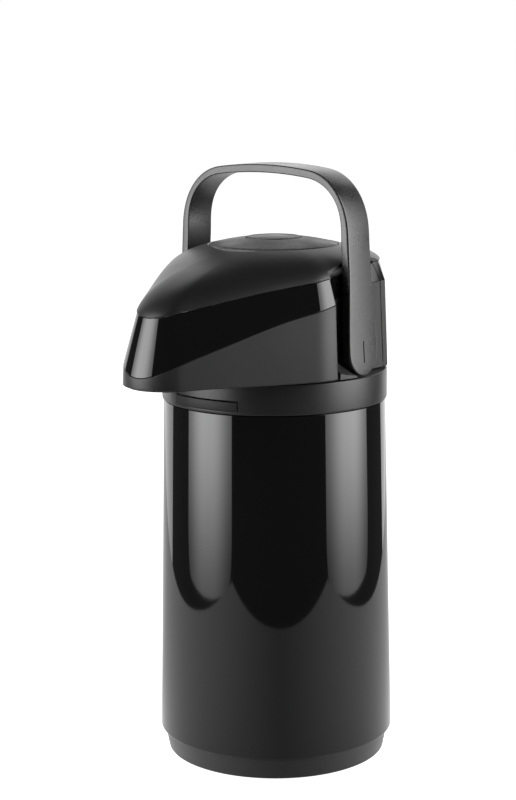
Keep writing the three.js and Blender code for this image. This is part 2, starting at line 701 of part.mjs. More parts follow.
function domeColumn(column) {
  return [...domeRib(column, 0), ...domeRib(column, HEAD_WALL).reverse()];
}

// What the handle sweeps on one side: everything outside the pivot plate, from the beak's side wall back
// to where the head is narrower than the plate.
function channels(front) {
  return [
    box([RECESS_X, front, 0], [FAR, FAR, DOME_RING_Z + OVERCUT]),
    box([-FAR, front, 0], [-RECESS_X, FAR, DOME_RING_Z + OVERCUT]),
  ];
}

// Everything between two places along the beak's axis.
function slice(front, rear) {
  return box([-FAR, front, 0], [FAR, rear, FAR]);
}

function hingeClearance() {
  const near = HEAD_KNUCKLE_HALF_WIDTH + GAP;
  const far = near + COLLAR_KNUCKLE_WIDTH + 2 * RUNNING;
  const radius = KNUCKLE_RADIUS + RUNNING + GAP;
  return [
    rodX(radius, near, far, HINGE_Y, HINGE_Z),
    rodX(radius, -far, -near, HINGE_Y, HINGE_Z),
  ];
}

function frontSkirt() {
  return combine(loft(OUTLINE.map(skirtColumn), true), { keep: [slice(-FAR, CHANNEL_FRONT_Y)] });
}

// The rear wall carries the head's half of the hinge.
function rearSkirt() {
  const reach = HEAD_KNUCKLE_HALF_WIDTH;
  const knuckle = rodX(KNUCKLE_RADIUS, -reach, reach, HINGE_Y, HINGE_Z);
  const web = box(
    [-reach, HEAD_RADIUS - HEAD_WALL, HEAD_BOTTOM_Z],
    [reach, HINGE_Y, HINGE_Z + KNUCKLE_RADIUS],
  );
  return combine(loft(OUTLINE.map(skirtColumn), true), {
    add: [knuckle, web],
    cut: [
      ...channels(CHANNEL_FRONT_Y - OVERCUT),
      ...hingeClearance(),
      rodX(HINGE_PIN_RADIUS + GAP, -FAR, FAR, HINGE_Y, HINGE_Z),
    ],
    keep: [slice(CHANNEL_REAR_Y, FAR)],
  });
}

function bandFront() {
  return combine(loft(OUTLINE.map(bandColumn), true), { keep: [slice(-FAR, CHANNEL_FRONT_Y)] });
}

function bandRear() {
  return combine(loft(OUTLINE.map(bandColumn), true), {
    cut: channels(CHANNEL_FRONT_Y - OVERCUT),
    keep: [slice(CHANNEL_REAR_Y, FAR)],
  });
}

function domeCover() {
  return combine(loft(OUTLINE.map(domeColumn), true), { cut: channels(CHANNEL_FRONT_Y) });
}

// The flat underside of the head, inside its walls.
function basePan() {
  const inset = HEAD_WALL + GAP + 0.1;
  const points = OUTLINE.map((column) => wallPoint(column, inset, 0));
  const shape = new THREE.Shape(points.map((p) => new THREE.Vector2(p.x, p.y)));
  shape.holes.push(new THREE.Path().absarc(0, 0, PAN_HOLE_RADIUS, 0, 2 * Math.PI, true));
  shape.holes.push(new THREE.Path().absarc(0, SPOUT_Y, NOZZLE_RADIUS + GAP, 0, 2 * Math.PI, true));
  const plate = new THREE.ExtrudeGeometry(shape, { depth: PAN_THICKNESS, bevelEnabled: false });
  const inner = PIVOT_PLATE_X - PIVOT_PLATE_THICKNESS - GAP;
  const screwHole = ([x, y]) => disc(SCREW_RADIUS + GAP, 0, FAR, HOLE_SEGMENTS).translate(x, y, 0);
  return combine(plate.translate(0, 0, PAN_BOTTOM_Z), {
    cut: [
      box([inner, CHANNEL_FRONT_Y - GAP, 0], [FAR, FAR, FAR]),
      box([-FAR, CHANNEL_FRONT_Y - GAP, 0], [-inner, FAR, FAR]),
      ...screwPlaces().map(screwHole),
    ],
  });
}

// The tab under the pan that the release button catches.
function latchHook() {
  return box(
    [-HOOK_HALF_WIDTH, HOOK_Y - HOOK_THICKNESS, LATCH_Z - LATCH_HEIGHT / 2],
    [HOOK_HALF_WIDTH, HOOK_Y, PAN_BOTTOM_Z - GAP],
  );
}

// ---------------------------------------------------------------- pump
function pumpHousing() {
  const outer = PUMP_BORE + PUMP_WALL;
  const low = PAN_TOP_Z + GAP;
  const high = DOME_RING_Z - HEAD_WALL - DOME_RING_SLOPE * (outer - DOME_HOLE_RADIUS) - 2 * GAP;
  const guideBore = STEM_RADIUS + RUNNING;
  const shell = turned([
    [PUMP_BORE, low],
    [outer, low],
    [outer, high],
    [PUMP_BORE, high],
    [PUMP_BORE, PUMP_FLOOR_TOP_Z],
    [guideBore + PUMP_WALL, PUMP_FLOOR_TOP_Z],
    [guideBore + PUMP_WALL, PUMP_FLOOR_TOP_Z + GUIDE_HEIGHT],
    [guideBore, PUMP_FLOOR_TOP_Z + GUIDE_HEIGHT],
    [guideBore, PUMP_FLOOR_Z],
    [PUMP_BORE, PUMP_FLOOR_Z],
  ], INNER_SEGMENTS);
  const bosses = screwPlaces().map(([x, y]) => {
    return disc(SCREW_BOSS_RADIUS, low, PUMP_FLOOR_Z, HOLE_SEGMENTS).translate(x, y, 0);
  });
  const bores = screwPlaces().map(([x, y]) => {
    const bore = disc(SCREW_RADIUS + GAP, low - OVERCUT, low + SCREW_LENGTH, HOLE_SEGMENTS);
    return bore.translate(x, y, 0);
  });
  const pipeHole = disc(SPOUT_TUBE_RADIUS + GAP, 0, outer + OVERCUT)
    .rotateX(Math.PI / 2)
    .translate(0, 0, SPOUT_Z);
  const airHoles = [0, 1, 2, 3].map((i) => {
    const turn = radians(45 + 90 * i);
    return disc(AIR_HOLE_RADIUS, PUMP_FLOOR_Z - OVERCUT, PUMP_FLOOR_TOP_Z + OVERCUT, HOLE_SEGMENTS)
      .translate(AIR_HOLE_REACH * Math.cos(turn), AIR_HOLE_REACH * Math.sin(turn), 0);
  });
  return combine(shell, { add: bosses, cut: [...bores, pipeHole, ...airHoles, ...pivotClearance()] });
}

// Room round the inner ends of the pivots, for a narrow handle.
function pivotClearance() {
  const radius = PIVOT_PIN_RADIUS + RUNNING + BUSH_WALL + BUSH_COLLAR + GAP;
  const near = PIVOT_PLATE_X - PIVOT_PLATE_THICKNESS - BUSH_FLANGE - RUNNING - PIN_HEAD - GAP;
  return [rodX(radius, near, FAR, 0, PIVOT_Z), rodX(radius, -FAR, -near, 0, PIVOT_Z)];
}

function screwPlaces() {
  const reach = PUMP_BORE + PUMP_WALL + SCREW_BOSS_RADIUS - 1;
  return Array.from({ length: SCREW_COUNT }, (_, i) => {
    const turn = ((i + 0.5) / SCREW_COUNT) * 2 * Math.PI;
    return [reach * Math.cos(turn), reach * Math.sin(turn)];
  });
}

function headScrew([x, y]) {
  const under = PAN_BOTTOM_Z - GAP;
  return turned([
    [0, under - SCREW_HEAD_HEIGHT],
    [SCREW_HEAD_RADIUS, under - SCREW_HEAD_HEIGHT],
    [SCREW_HEAD_RADIUS, under],
    [SCREW_RADIUS, under],
    [SCREW_RADIUS, under + SCREW_LENGTH],
    [0, under + SCREW_LENGTH],
  ], HOLE_SEGMENTS).translate(x, y, 0);
}

function crownZ(radius) {
  return DOME_RING_Z + BUTTON_CROWN * (1 - (radius / BUTTON_RADIUS) ** 2);
}

const BADGE_POCKET_RADIUS = BADGE_RADIUS + GAP;
const BADGE_TOP_Z = crownZ(BADGE_POCKET_RADIUS) + BADGE_PROUD;
const BADGE_POCKET_Z = BADGE_TOP_Z - BADGE_HEIGHT - GAP;

function buttonPlate() {
  const steps = 4;
  const crown = Array.from({ length: steps + 1 }, (_, i) => {
    const radius = THREE.MathUtils.lerp(BUTTON_RADIUS - 0.8, BADGE_POCKET_RADIUS, i / steps);
    return [radius, crownZ(radius)];
  });
  return turned([
    [0, BUTTON_UNDER_Z],
    [BUTTON_RADIUS - BUTTON_WALL, BUTTON_UNDER_Z],
    [BUTTON_RADIUS - BUTTON_WALL, DOME_RING_Z - BUTTON_SKIRT],
    [BUTTON_RADIUS, DOME_RING_Z - BUTTON_SKIRT],
    [BUTTON_RADIUS, DOME_RING_Z - 0.6],
    ...crown,
    [BADGE_POCKET_RADIUS, BADGE_POCKET_Z],
    [0, BADGE_POCKET_Z],
  ]);
}

function buttonBadge() {
  const edge = 0.5;
  return turned([
    [0, BADGE_POCKET_Z + GAP],
    [BADGE_RADIUS, BADGE_POCKET_Z + GAP],
    [BADGE_RADIUS, BADGE_TOP_Z - edge],
    [BADGE_RADIUS - edge, BADGE_TOP_Z],
    [0, BADGE_TOP_Z],
  ], INNER_SEGMENTS);
}

function buttonStem() {
  const top = BUTTON_UNDER_Z - GAP;
  const low = PUMP_FLOOR_TOP_Z + BUTTON_TRAVEL + 2;
  const flange = 2;
  return turned([
    [0, low],
    [STEM_RADIUS, low],
    [STEM_RADIUS, top - flange],
    [STEM_RADIUS * 2, top - flange],
    [STEM_RADIUS * 2, top],
    [0, top],
  ], SMALL_SEGMENTS);
}

function bellows() {
  const low = PUMP_FLOOR_TOP_Z + GAP;
  const high = BUTTON_UNDER_Z - GAP;
  const pitch = (high - low) / (2 * BELLOWS_FOLDS);
  const outside = Array.from({ length: 2 * BELLOWS_FOLDS + 1 }, (_, i) => {
    return [BELLOWS_RADIUS - (i % 2) * BELLOWS_FOLD, low + i * pitch];
  });
  const inside = outside.map(([r, z]) => [r - BELLOWS_WALL, z]).reverse();
  return turned([...outside, ...inside], INNER_SEGMENTS);
}

// A helix round Z.
class Helix extends THREE.Curve {
  constructor(radius, turns, low, high) {
    super();
    Object.assign(this, { radius, turns, low, high });
  }

  getPoint(t, target = new THREE.Vector3()) {
    const turn = 2 * Math.PI * this.turns * t;
    const z = THREE.MathUtils.lerp(this.low, this.high, t);
    return target.set(this.radius * Math.cos(turn), this.radius * Math.sin(turn), z);
  }
}

function returnSpring() {
  const inset = SPRING_WIRE_RADIUS + GAP + RUNNING;
  const low = PUMP_FLOOR_TOP_Z + inset;
  const high = BUTTON_UNDER_Z - inset;
  const coil = new Helix(SPRING_RADIUS, SPRING_TURNS, low, high);
  return tube(coil, SPRING_WIRE_RADIUS, 0, SPRING_TURNS * 10, 6);
}

function airValve() {
  const inner = AIR_HOLE_REACH - AIR_HOLE_RADIUS - 1;
  const outer = AIR_HOLE_REACH + AIR_HOLE_RADIUS + 1;
  return ring(inner, outer, PUMP_FLOOR_Z - 1.2, PUMP_FLOOR_Z - GAP, SMALL_SEGMENTS);
}

function spoutTube() {
  const low = DECK_TOP_Z + DIP_TUBE_CLEARANCE + 2;
  const path = new THREE.CurvePath();
  const corner = (from, middle, to) => new THREE.QuadraticBezierCurve3(from, middle, to);
  const at = (y, z) => new THREE.Vector3(0, y, z);
  path.add(new THREE.LineCurve3(at(0, low), at(0, SPOUT_Z - SPOUT_BEND)));
  path.add(corner(at(0, SPOUT_Z - SPOUT_BEND), at(0, SPOUT_Z), at(-SPOUT_BEND, SPOUT_Z)));
  path.add(new THREE.LineCurve3(at(-SPOUT_BEND, SPOUT_Z), at(SPOUT_Y + SPOUT_BEND, SPOUT_Z)));
  const drop = at(SPOUT_Y, SPOUT_Z - SPOUT_BEND);
  path.add(corner(at(SPOUT_Y + SPOUT_BEND, SPOUT_Z), at(SPOUT_Y, SPOUT_Z), drop));
  path.add(new THREE.LineCurve3(drop, at(SPOUT_Y, PAN_BOTTOM_Z)));
  return tube(path, SPOUT_TUBE_RADIUS, SPOUT_TUBE_RADIUS - SPOUT_TUBE_WALL, 24, 10);
}

function spoutNozzle() {
  const low = PAN_BOTTOM_Z - 0.6;
  const bore = SPOUT_TUBE_RADIUS - SPOUT_TUBE_WALL;
  const seat = PAN_BOTTOM_Z - GAP;
  const wall = SPOUT_TUBE_RADIUS + GAP;
  return turned([
    [bore, low],
    [NOZZLE_RADIUS - 1.2, low],
    [NOZZLE_RADIUS, low + 1],
    [NOZZLE_RADIUS, PAN_TOP_Z + 0.4],
    [wall, PAN_TOP_Z + 0.4],
    [wall, seat],
    [bore, seat],
  ], SMALL_SEGMENTS).translate(0, SPOUT_Y, 0);
}

function jointSeal() {
  const wall = SPOUT_TUBE_RADIUS + GAP;
  const low = DECK_TOP_Z + DIP_TUBE_CLEARANCE + GAP;
  return turned([
    [wall + 1, low],
    [wall + 4, low],
    [wall + 4, PAN_TOP_Z],
    [wall, PAN_TOP_Z],
    [wall, low + 2],
  ], SMALL_SEGMENTS);
}

function neckSeal() {
  return ring(
    PAN_HOLE_RADIUS + 5, PAN_HOLE_RADIUS + 9, STOPPER_TOP_Z + GAP, PAN_BOTTOM_Z - GAP, INNER_SEGMENTS,
  );
}

// ---------------------------------------------------------------- handle and its pivots
// A flat panel that closes a channel between two edges, trimmed to the inside of the rear walls.
function channelPanel(lowAt, highAt) {
  const front = CHANNEL_FRONT_Y + CHANNEL_SLOT;
  const rear = Math.sqrt((HEAD_RADIUS - HEAD_WALL) ** 2 - PIVOT_PLATE_X ** 2);
  const steps = 6;
  const edge = (heightAt) => Array.from({ length: steps + 1 }, (_, i) => {
    const y = THREE.MathUtils.lerp(front, rear, i / steps);
    return new THREE.Vector2(y, heightAt(y));
  });
  const side = new THREE.Shape([...edge(lowAt), ...edge(highAt).reverse()]);
  const panel = new THREE.ExtrudeGeometry(side, { depth: PIVOT_PLATE_THICKNESS, bevelEnabled: false })
    .applyMatrix4(new THREE.Matrix4().makeBasis(AXIS_Y, AXIS_Z, AXIS_X))
    .translate(PIVOT_PLATE_X - PIVOT_PLATE_THICKNESS, 0, 0);
  const rearWall = combine(loft(OUTLINE.map(wallEnvelope), true), {
    keep: [slice(CHANNEL_REAR_Y - GAP, FAR)],
  });
  return combine(panel, { cut: [rearWall] });
}

// The flat panel behind one arm. Its lower front corner flares out to the head's outline, and a round
// pocket in that corner clears the arm's end.
function pivotPlate() {
  const inner = PIVOT_PLATE_X - PIVOT_PLATE_THICKNESS;
  const front = CHANNEL_FRONT_Y + CHANNEL_SLOT;
  const plate = channelPanel(() => HEAD_BOTTOM_Z, (y) => skirtTopZ(y));
  const flare = new THREE.Shape([
    new THREE.Vector2(inner, HEAD_BOTTOM_Z),
    new THREE.Vector2(HEAD_RADIUS + OVERCUT, HEAD_BOTTOM_Z),
    new THREE.Vector2(PIVOT_PLATE_X, HEAD_BOTTOM_Z + FLARE_HEIGHT),
    new THREE.Vector2(inner, HEAD_BOTTOM_Z + FLARE_HEIGHT),
  ]);
  const wedge = new THREE.ExtrudeGeometry(flare, { depth: FLARE_REAR_Y - front, bevelEnabled: false })
    .rotateX(Math.PI / 2)
    .translate(0, FLARE_REAR_Y, 0);
  const bound = disc(HEAD_RADIUS, 0, FAR, SEGMENTS * 2);
  const corner = combine(wedge, { keep: [bound] });
  const pocket = rodX(HANDLE_END_RADIUS + END_POCKET, PIVOT_PLATE_X, FAR, 0, PIVOT_Z, SEGMENTS);
  const bore = rodX(PIVOT_PIN_RADIUS + RUNNING + BUSH_WALL + GAP, 0, FAR, 0, PIVOT_Z);
  return combine(plate, { add: [corner], cut: [pocket, bore] });
}

// The band's flat stretch over a pivot plate.
function bandInsert() {
  return channelPanel((y) => skirtTopZ(y) + GAP, (y) => edgeZ(BAND_EDGE, y) - GAP);
}

function pivotBush() {
  const inner = PIVOT_PLATE_X - PIVOT_PLATE_THICKNESS - BUSH_FLANGE;
  const bore = PIVOT_PIN_RADIUS + RUNNING;
  const wall = bore + BUSH_WALL;
  const flange = PIVOT_PLATE_X - PIVOT_PLATE_THICKNESS - GAP;
  return turned([
    [bore, inner],
    [wall + BUSH_COLLAR, inner],
    [wall + BUSH_COLLAR, flange],
    [wall, flange],
    [wall, PIVOT_PLATE_X + GAP],
    [bore, PIVOT_PLATE_X + GAP],
  ], SMALL_SEGMENTS).rotateY(Math.PI / 2).translate(0, 0, PIVOT_Z);
}

// The pin's head keeps it inside the plate; its outer end meets the arm.
function pivotPin() {
  const inner = PIVOT_PLATE_X - PIVOT_PLATE_THICKNESS - BUSH_FLANGE - RUNNING;
  const leanReach = Math.tan(radians(HANDLE_LEAN)) * HANDLE_END_RADIUS;
  const outer = HANDLE_PIVOT_HALF_WIDTH - HANDLE_THICKNESS - leanReach - 2 * GAP;
  return turned([
    [0, inner - PIN_HEAD],
    [PIVOT_PIN_RADIUS + PIN_HEAD, inner - PIN_HEAD],
    [PIVOT_PIN_RADIUS + PIN_HEAD, inner],
    [PIVOT_PIN_RADIUS, inner],
    [PIVOT_PIN_RADIUS, outer],
    [0, outer],
  ], SMALL_SEGMENTS).rotateY(Math.PI / 2).translate(0, 0, PIVOT_Z);
}

// Centre line of the bail's right half, from the end of the arm to the middle of the grip, with half its
// breadth at each point.
function bailHalf() {
  const lean = Math.tan(radians(HANDLE_LEAN));
  const middle = HANDLE_PIVOT_HALF_WIDTH - HANDLE_THICKNESS / 2;
  const taperZ = PIVOT_Z + HANDLE_TAPER;
  const cornerZ = PIVOT_Z + HANDLE_CORNER_RISE;
  const armX = (z) => middle - lean * (z - PIVOT_Z);
  const crownZAt = (x) => HANDLE_TOP_Z - HANDLE_THICKNESS / 2 - HANDLE_CROWN * (x / HANDLE_CORNER_X) ** 2;
  const breadth = (z) => {
    if (z <= PIVOT_Z) return Math.sqrt(HANDLE_END_RADIUS ** 2 - (PIVOT_Z - z) ** 2);
    const share = THREE.MathUtils.smoothstep(z, PIVOT_Z, taperZ);
    return THREE.MathUtils.lerp(HANDLE_END_RADIUS, HANDLE_GRIP_HALF_BREADTH, share);
  };
  const points = [];
  for (const turn of [88, 75, 60, 45, 30, 15, 0]) {
    points.push(new THREE.Vector2(0, PIVOT_Z - HANDLE_END_RADIUS * Math.sin(radians(turn))));
  }
  for (const share of [1 / 3, 2 / 3, 1]) {
    points.push(new THREE.Vector2(0, PIVOT_Z + HANDLE_TAPER * share));
  }
  points.push(new THREE.Vector2(0, cornerZ));
  for (const point of points) point.x = armX(point.y);
  const from = points.at(-1);
  const to = new THREE.Vector2(HANDLE_CORNER_X, crownZAt(HANDLE_CORNER_X));
  const slope = (2 * HANDLE_CROWN) / HANDLE_CORNER_X;
  const up = (to.y - from.y) * HANDLE_CORNER_FULLNESS;
  const out = (from.x - to.x) * HANDLE_CORNER_FULLNESS;
  const corner = new THREE.CubicBezierCurve(
    from,
    new THREE.Vector2(from.x - lean * up, from.y + up),
    new THREE.Vector2(to.x + out, to.y - slope * out),
    to,
  );
  points.push(...corner.getPoints(9).slice(1));
  for (const share of [2 / 3, 1 / 3, 0]) {
    const x = HANDLE_CORNER_X * share;
    points.push(new THREE.Vector2(x, crownZAt(x)));
  }
  const cornerMiddle = (cornerZ + HANDLE_TOP_Z) / 2;
  return points.map((p) => {
    const away = Math.abs(p.y - cornerMiddle) / (HANDLE_TOP_Z - cornerMiddle);
    const share = THREE.MathUtils.smoothstep(away, 0, 1.4);
    const thickness = THREE.MathUtils.lerp(HANDLE_CORNER_THICKNESS, HANDLE_THICKNESS, share);
    return { x: p.x, z: p.y, half: breadth(p.y), thickness };
  });
}

function handleBail() {
  const right = bailHalf();
  const left = right.slice(0, -1).reverse().map((point) => ({ ...point, x: -point.x }));
  const line = [...right, ...left];
  const columns = line.map(({ x, z, half, thickness }, i) => {
    const before = line[Math.max(i - 1, 0)];
    const after = line[Math.min(i + 1, line.length - 1)];
    const along = new THREE.Vector2(after.x - before.x, after.z - before.z).normalize();
    const outward = new THREE.Vector2(along.y, -along.x);
    const outer = HANDLE_THICKNESS / 2;
    const inner = HANDLE_THICKNESS / 2 - thickness;
    const bevel = Math.min(HANDLE_BEVEL, half * 0.4);
    const section = [
      [outer, half - bevel],
      [outer - bevel, half],
      [inner + bevel * 0.5, half],
      [inner, half - bevel * 0.5],
      [inner, bevel * 0.5 - half],
      [inner + bevel * 0.5, -half],
      [outer - bevel, -half],
      [outer, bevel - half],
    ];
    return section.map(([out, y]) => new THREE.Vector3(x + outward.x * out, y, z + outward.y * out));
  });
  return loft(columns, false);
}

// ---------------------------------------------------------------- assembly
const airpot = new THREE.Group();

const FINISHES = {
  body: { color: 0x070707, roughness: 0.08, metalness: 0 },
  satin: { color: 0x26272a, roughness: 0.42, metalness: 0 },
  textured: { color: 0x2e2f31, roughness: 0.62, metalness: 0 },
  gloss: { color: 0x050505, roughness: 0.06, metalness: 0 },
  rubber: { color: 0x18181a, roughness: 0.85, metalness: 0 },
  silicone: { color: 0xd8d8d2, roughness: 0.6, metalness: 0 },
  glass: { color: 0xc9d2d6, roughness: 0.08, metalness: 0.6 },
  clear: { color: 0xdfe2e0, roughness: 0.4, metalness: 0 },
  steel: { color: 0xb4b6b8, roughness: 0.3, metalness: 1 },
};

function place(name, geometry, finish) {
  const shape = closed(geometry);
  shape.computeVertexNormals();
  const mesh = new THREE.Mesh(shape, new THREE.MeshStandardMaterial(FINISHES[finish]));
  mesh.name = name;
  airpot.add(mesh);
}

// The same piece on both sides, the left one mirrored.
function placePair(name, geometry, finish) {
  place(`${name}_right`, geometry, finish);
  place(`${name}_left`, geometry.clone().scale(-1, 1, 1), finish);
}

place("foot_pad", footPad(), "rubber");
place("base_cap", baseCap(), "satin");
place("body_shell", bodyShell(), "body");
place("liner_cushion", linerCushion(), "rubber");
place("glass_liner_outer", glassOuter(), "glass");
place("glass_liner_inner", glassInner(), "glass");
place("liner_gasket", linerGasket(), "silicone");
place("collar_ring", collarRing(), "satin");
place("stopper", stopper(), "clear");
place("stopper_seal", stopperSeal(), "silicone");
place("dip_tube", dipTube(), "clear");
place("hinge_pin", hingePin(), "steel");
place("latch_button", latchButton(), "satin");

place("beak_skirt", frontSkirt(), "satin");
place("rear_skirt", rearSkirt(), "satin");
place("gloss_band_front", bandFront(), "gloss");
place("gloss_band_rear", bandRear(), "gloss");
place("dome_cover", domeCover(), "textured");
place("base_pan", basePan(), "satin");
place("latch_hook", latchHook(), "satin");
place("pump_housing", pumpHousing(), "clear");
place("air_valve_flap", airValve(), "silicone");
place("spout_tube", spoutTube(), "clear");
place("spout_nozzle", spoutNozzle(), "satin");
place("joint_seal", jointSeal(), "silicone");
place("neck_seal", neckSeal(), "silicone");
screwPlaces().forEach((spot, i) => place(`head_screw_${i + 1}`, headScrew(spot), "steel"));
placePair("pivot_plate", pivotPlate(), "satin");
placePair("pivot_bush", pivotBush(), "clear");
placePair("band_insert", bandInsert(), "gloss");

place("button_plate", buttonPlate(), "textured");
place("button_badge", buttonBadge(), "textured");
place("button_stem", buttonStem(), "clear");
place("bellows", bellows(), "rubber");
place("return_spring", returnSpring(), "steel");

place("handle_bail", handleBail(), "textured");
placePair("pivot_pin", pivotPin(), "steel");

export default airpot;
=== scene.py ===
"""Looks for the coffee airpot: finer shells, plastics with real finishes, a white table and two softboxes."""

import itertools
import math

import bmesh
import bpy
import numpy as np
from mathutils import Matrix, Vector


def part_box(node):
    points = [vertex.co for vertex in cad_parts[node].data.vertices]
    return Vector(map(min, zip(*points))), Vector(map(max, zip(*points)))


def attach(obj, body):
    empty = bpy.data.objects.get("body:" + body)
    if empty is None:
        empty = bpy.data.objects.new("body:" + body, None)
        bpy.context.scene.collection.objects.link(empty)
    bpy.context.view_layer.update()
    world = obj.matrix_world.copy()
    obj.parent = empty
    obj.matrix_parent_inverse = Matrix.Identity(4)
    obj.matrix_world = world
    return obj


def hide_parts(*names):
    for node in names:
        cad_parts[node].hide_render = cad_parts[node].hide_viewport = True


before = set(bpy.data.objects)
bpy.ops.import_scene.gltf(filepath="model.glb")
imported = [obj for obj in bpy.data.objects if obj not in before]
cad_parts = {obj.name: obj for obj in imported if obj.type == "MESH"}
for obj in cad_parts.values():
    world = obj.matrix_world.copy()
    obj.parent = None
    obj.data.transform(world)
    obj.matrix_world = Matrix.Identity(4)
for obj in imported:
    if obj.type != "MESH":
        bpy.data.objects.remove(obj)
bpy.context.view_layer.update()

# Shapes are worked out in millimetres and stored in metres.
MM = 0.001
GAP = 0.3  # seam between two pieces
WALL = 2.4  # wall of the head's shells and of the press plate
BODY_WALL = 2
BASE_SEAM = 1.2  # groove between the base and the body
COLLAR_SEAM = 0.6  # groove between the body and the collar
HEAD_SEAM = 1  # groove between the collar and the head
COLLAR_OVERHANG = 1.1  # how far the collar stands out from the top of the body
ROUND = 160  # columns round a turned piece
ARC_STEPS = 4  # steps along a rounded corner
ON_AXIS = 1e-6  # a smaller radius counts as a point on the axis


# ---------------------------------------------------------------- sizes read from the CAD model
def low_mm(node):
    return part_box(node)[0] / MM


def high_mm(node):
    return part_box(node)[1] / MM


BODY_LOW = low_mm("body_shell").z
BODY_HIGH = high_mm("body_shell").z
BODY_RADIUS = high_mm("body_shell").x
COLLAR_RADIUS = high_mm("collar_ring").x
BODY_TOP_RADIUS = COLLAR_RADIUS - COLLAR_OVERHANG
BASE_TOP_RADIUS = 75.2
BASE_BOTTOM_RADIUS = 72.6
COLLAR_LOW = BODY_HIGH + COLLAR_SEAM
HEAD_LOW = low_mm("beak_skirt").z
COLLAR_HIGH = HEAD_LOW - HEAD_SEAM
BEAK_TIP = -low_mm("beak_skirt").y
RING_Z = high_mm("dome_cover").z
BUTTON_RADIUS = high_mm("button_plate").x
BUTTON_LOW = low_mm("button_plate").z
BADGE_TOP = high_mm("button_badge").z
BADGE_LOW = low_mm("button_badge").z
BADGE_RADIUS = high_mm("button_badge").y
HANDLE_TOP = high_mm("handle_bail").z
PLATE_X = high_mm("band_insert_right").x
LATCH_LOW = low_mm("latch_button")
LATCH_HIGH = high_mm("latch_button")


# ---------------------------------------------------------------- meshes
def add_object(name, data):
    thing = bpy.data.objects.new(name, data)
    bpy.context.scene.collection.objects.link(thing)
    return thing


def finish_mesh(mesh, crease_degrees=32):
    """Smooth faces, with the edges sharper than the crease kept crisp."""
    work = bmesh.new()
    work.from_mesh(mesh)
    bmesh.ops.remove_doubles(work, verts=work.verts, dist=2e-6)
    bmesh.ops.recalc_face_normals(work, faces=work.faces)
    limit = math.radians(crease_degrees)
    for edge in work.edges:
        edge.smooth = edge.calc_face_angle(math.pi) < limit
    for face in work.faces:
        face.smooth = True
    work.to_mesh(mesh)
    work.free()


def new_piece(name, points_mm, faces):
    mesh = bpy.data.meshes.new(name)
    mesh.from_pydata([Vector(p) * MM for p in points_mm], [], faces)
    finish_mesh(mesh)
    return add_object(name, mesh)


def rounded(corners, radii, steps=ARC_STEPS):
    """The polygon with some corners rounded; radii is a dict from corner number to millimetres."""
    outline = []
    count = len(corners)
    for i, corner in enumerate(corners):
        here = Vector(corner)
        radius = radii.get(i, 0)
        before = Vector(corners[i - 1]) - here
        after = Vector(corners[(i + 1) % count]) - here
        if radius == 0:
            outline.append(here)
            continue
        half = before.angle(after) / 2
        cut = radius / math.tan(half)
        start = here + before.normalized() * cut
        end = here + after.normalized() * cut
        for step in range(steps + 1):
            t = step / steps
            # A quadratic curve stands for the small arc.
            outline.append(start * (1 - t) ** 2 + here * 2 * t * (1 - t) + end * t**2)
    return outline


def turned(name, profile, columns=ROUND):
    """A solid of revolution from a profile of (radius, z). Points on the axis close it."""
    points = []
    rows = []
    for radius, z in profile:
        if radius < ON_AXIS:
            rows.append([len(points)] * columns)
            points.append((0, 0, z))
            continue
        rows.append(list(range(len(points), len(points) + columns)))
        for i in range(columns):
            turn = 2 * math.pi * i / columns
            points.append((radius * math.cos(turn), radius * math.sin(turn), z))
    ends_on_axis = profile[0][0] < ON_AXIS and profile[-1][0] < ON_AXIS
    pairs = list(zip(rows, rows[1:]))
    if not ends_on_axis:
        pairs.append((rows[-1], rows[0]))
    faces = []
    for lower, upper in pairs:
        for i in range(columns):
            k = (i + 1) % columns
            corners = [lower[i], lower[k], upper[k], upper[i]]
            kept = [c for n, c in enumerate(corners) if c != corners[n - 1]]
            if len(kept) > 2:
                faces.append(kept)
    return new_piece(name, points, faces)


def loft(name, columns, is_ring):
    """Joins closed loops of equal counts into a ring, or into a bar with flat ends."""
    count = len(columns[0])
    points = [p for column in columns for p in column]
    faces = []
    bays = len(columns) if is_ring else len(columns) - 1
    for i in range(bays):
        here = i * count
        there = ((i + 1) % len(columns)) * count
        for j in range(count):
            k = (j + 1) % count
            faces.append([here + j, there + j, there + k, here + k])
    if not is_ring:
        faces.append(list(range(count)))
        faces.append([(len(columns) - 1) * count + j for j in range(count)])
    return new_piece(name, points, faces)


def block(low, high):
    """A box between two corners."""
    points = list(itertools.product(*zip(low, high)))
    faces = [(0, 1, 3, 2), (4, 6, 7, 5), (0, 4, 5, 1), (2, 3, 7, 6), (0, 2, 6, 4), (1, 5, 7, 3)]
    return new_piece("cutter", points, faces)


def rod_x(radius, x0, x1, y, z, sides=48):
    """A cylinder along X."""
    loops = []
    for x in (x0, x1):
        turns = [2 * math.pi * i / sides for i in range(sides)]
        loops.append([(x, y + radius * math.cos(t), z + radius * math.sin(t)) for t in turns])
    return loft("cutter", loops, False)


def apply_modifiers(piece):
    mesh = bpy.data.meshes.new_from_object(piece.evaluated_get(bpy.context.evaluated_depsgraph_get()))
    piece.modifiers.clear()
    piece.data = mesh


def combine(piece, others, operation):
    """Joins the other solids to the piece, cuts them from it or keeps what they share, and removes them."""
    for other in others:
        change = piece.modifiers.new("change", "BOOLEAN")
        change.operation = operation
        change.solver = "EXACT"
        change.object = other
        apply_modifiers(piece)
        bpy.data.objects.remove(other)
    finish_mesh(piece.data)
    return piece


def soften(piece, width, angle=50):
    """A small round along the sharp edges that a cut leaves."""
    edge = piece.modifiers.new("edge", "BEVEL")
    edge.width = width * MM
    edge.segments = 2
    edge.limit_method = "ANGLE"
    edge.angle_limit = math.radians(angle)
    apply_modifiers(piece)
    finish_mesh(piece.data)
    return piece


# ---------------------------------------------------------------- materials
PLASTIC_IOR = 1.5
PATCH_SCALE = 35.0  # of the noise that varies the polish
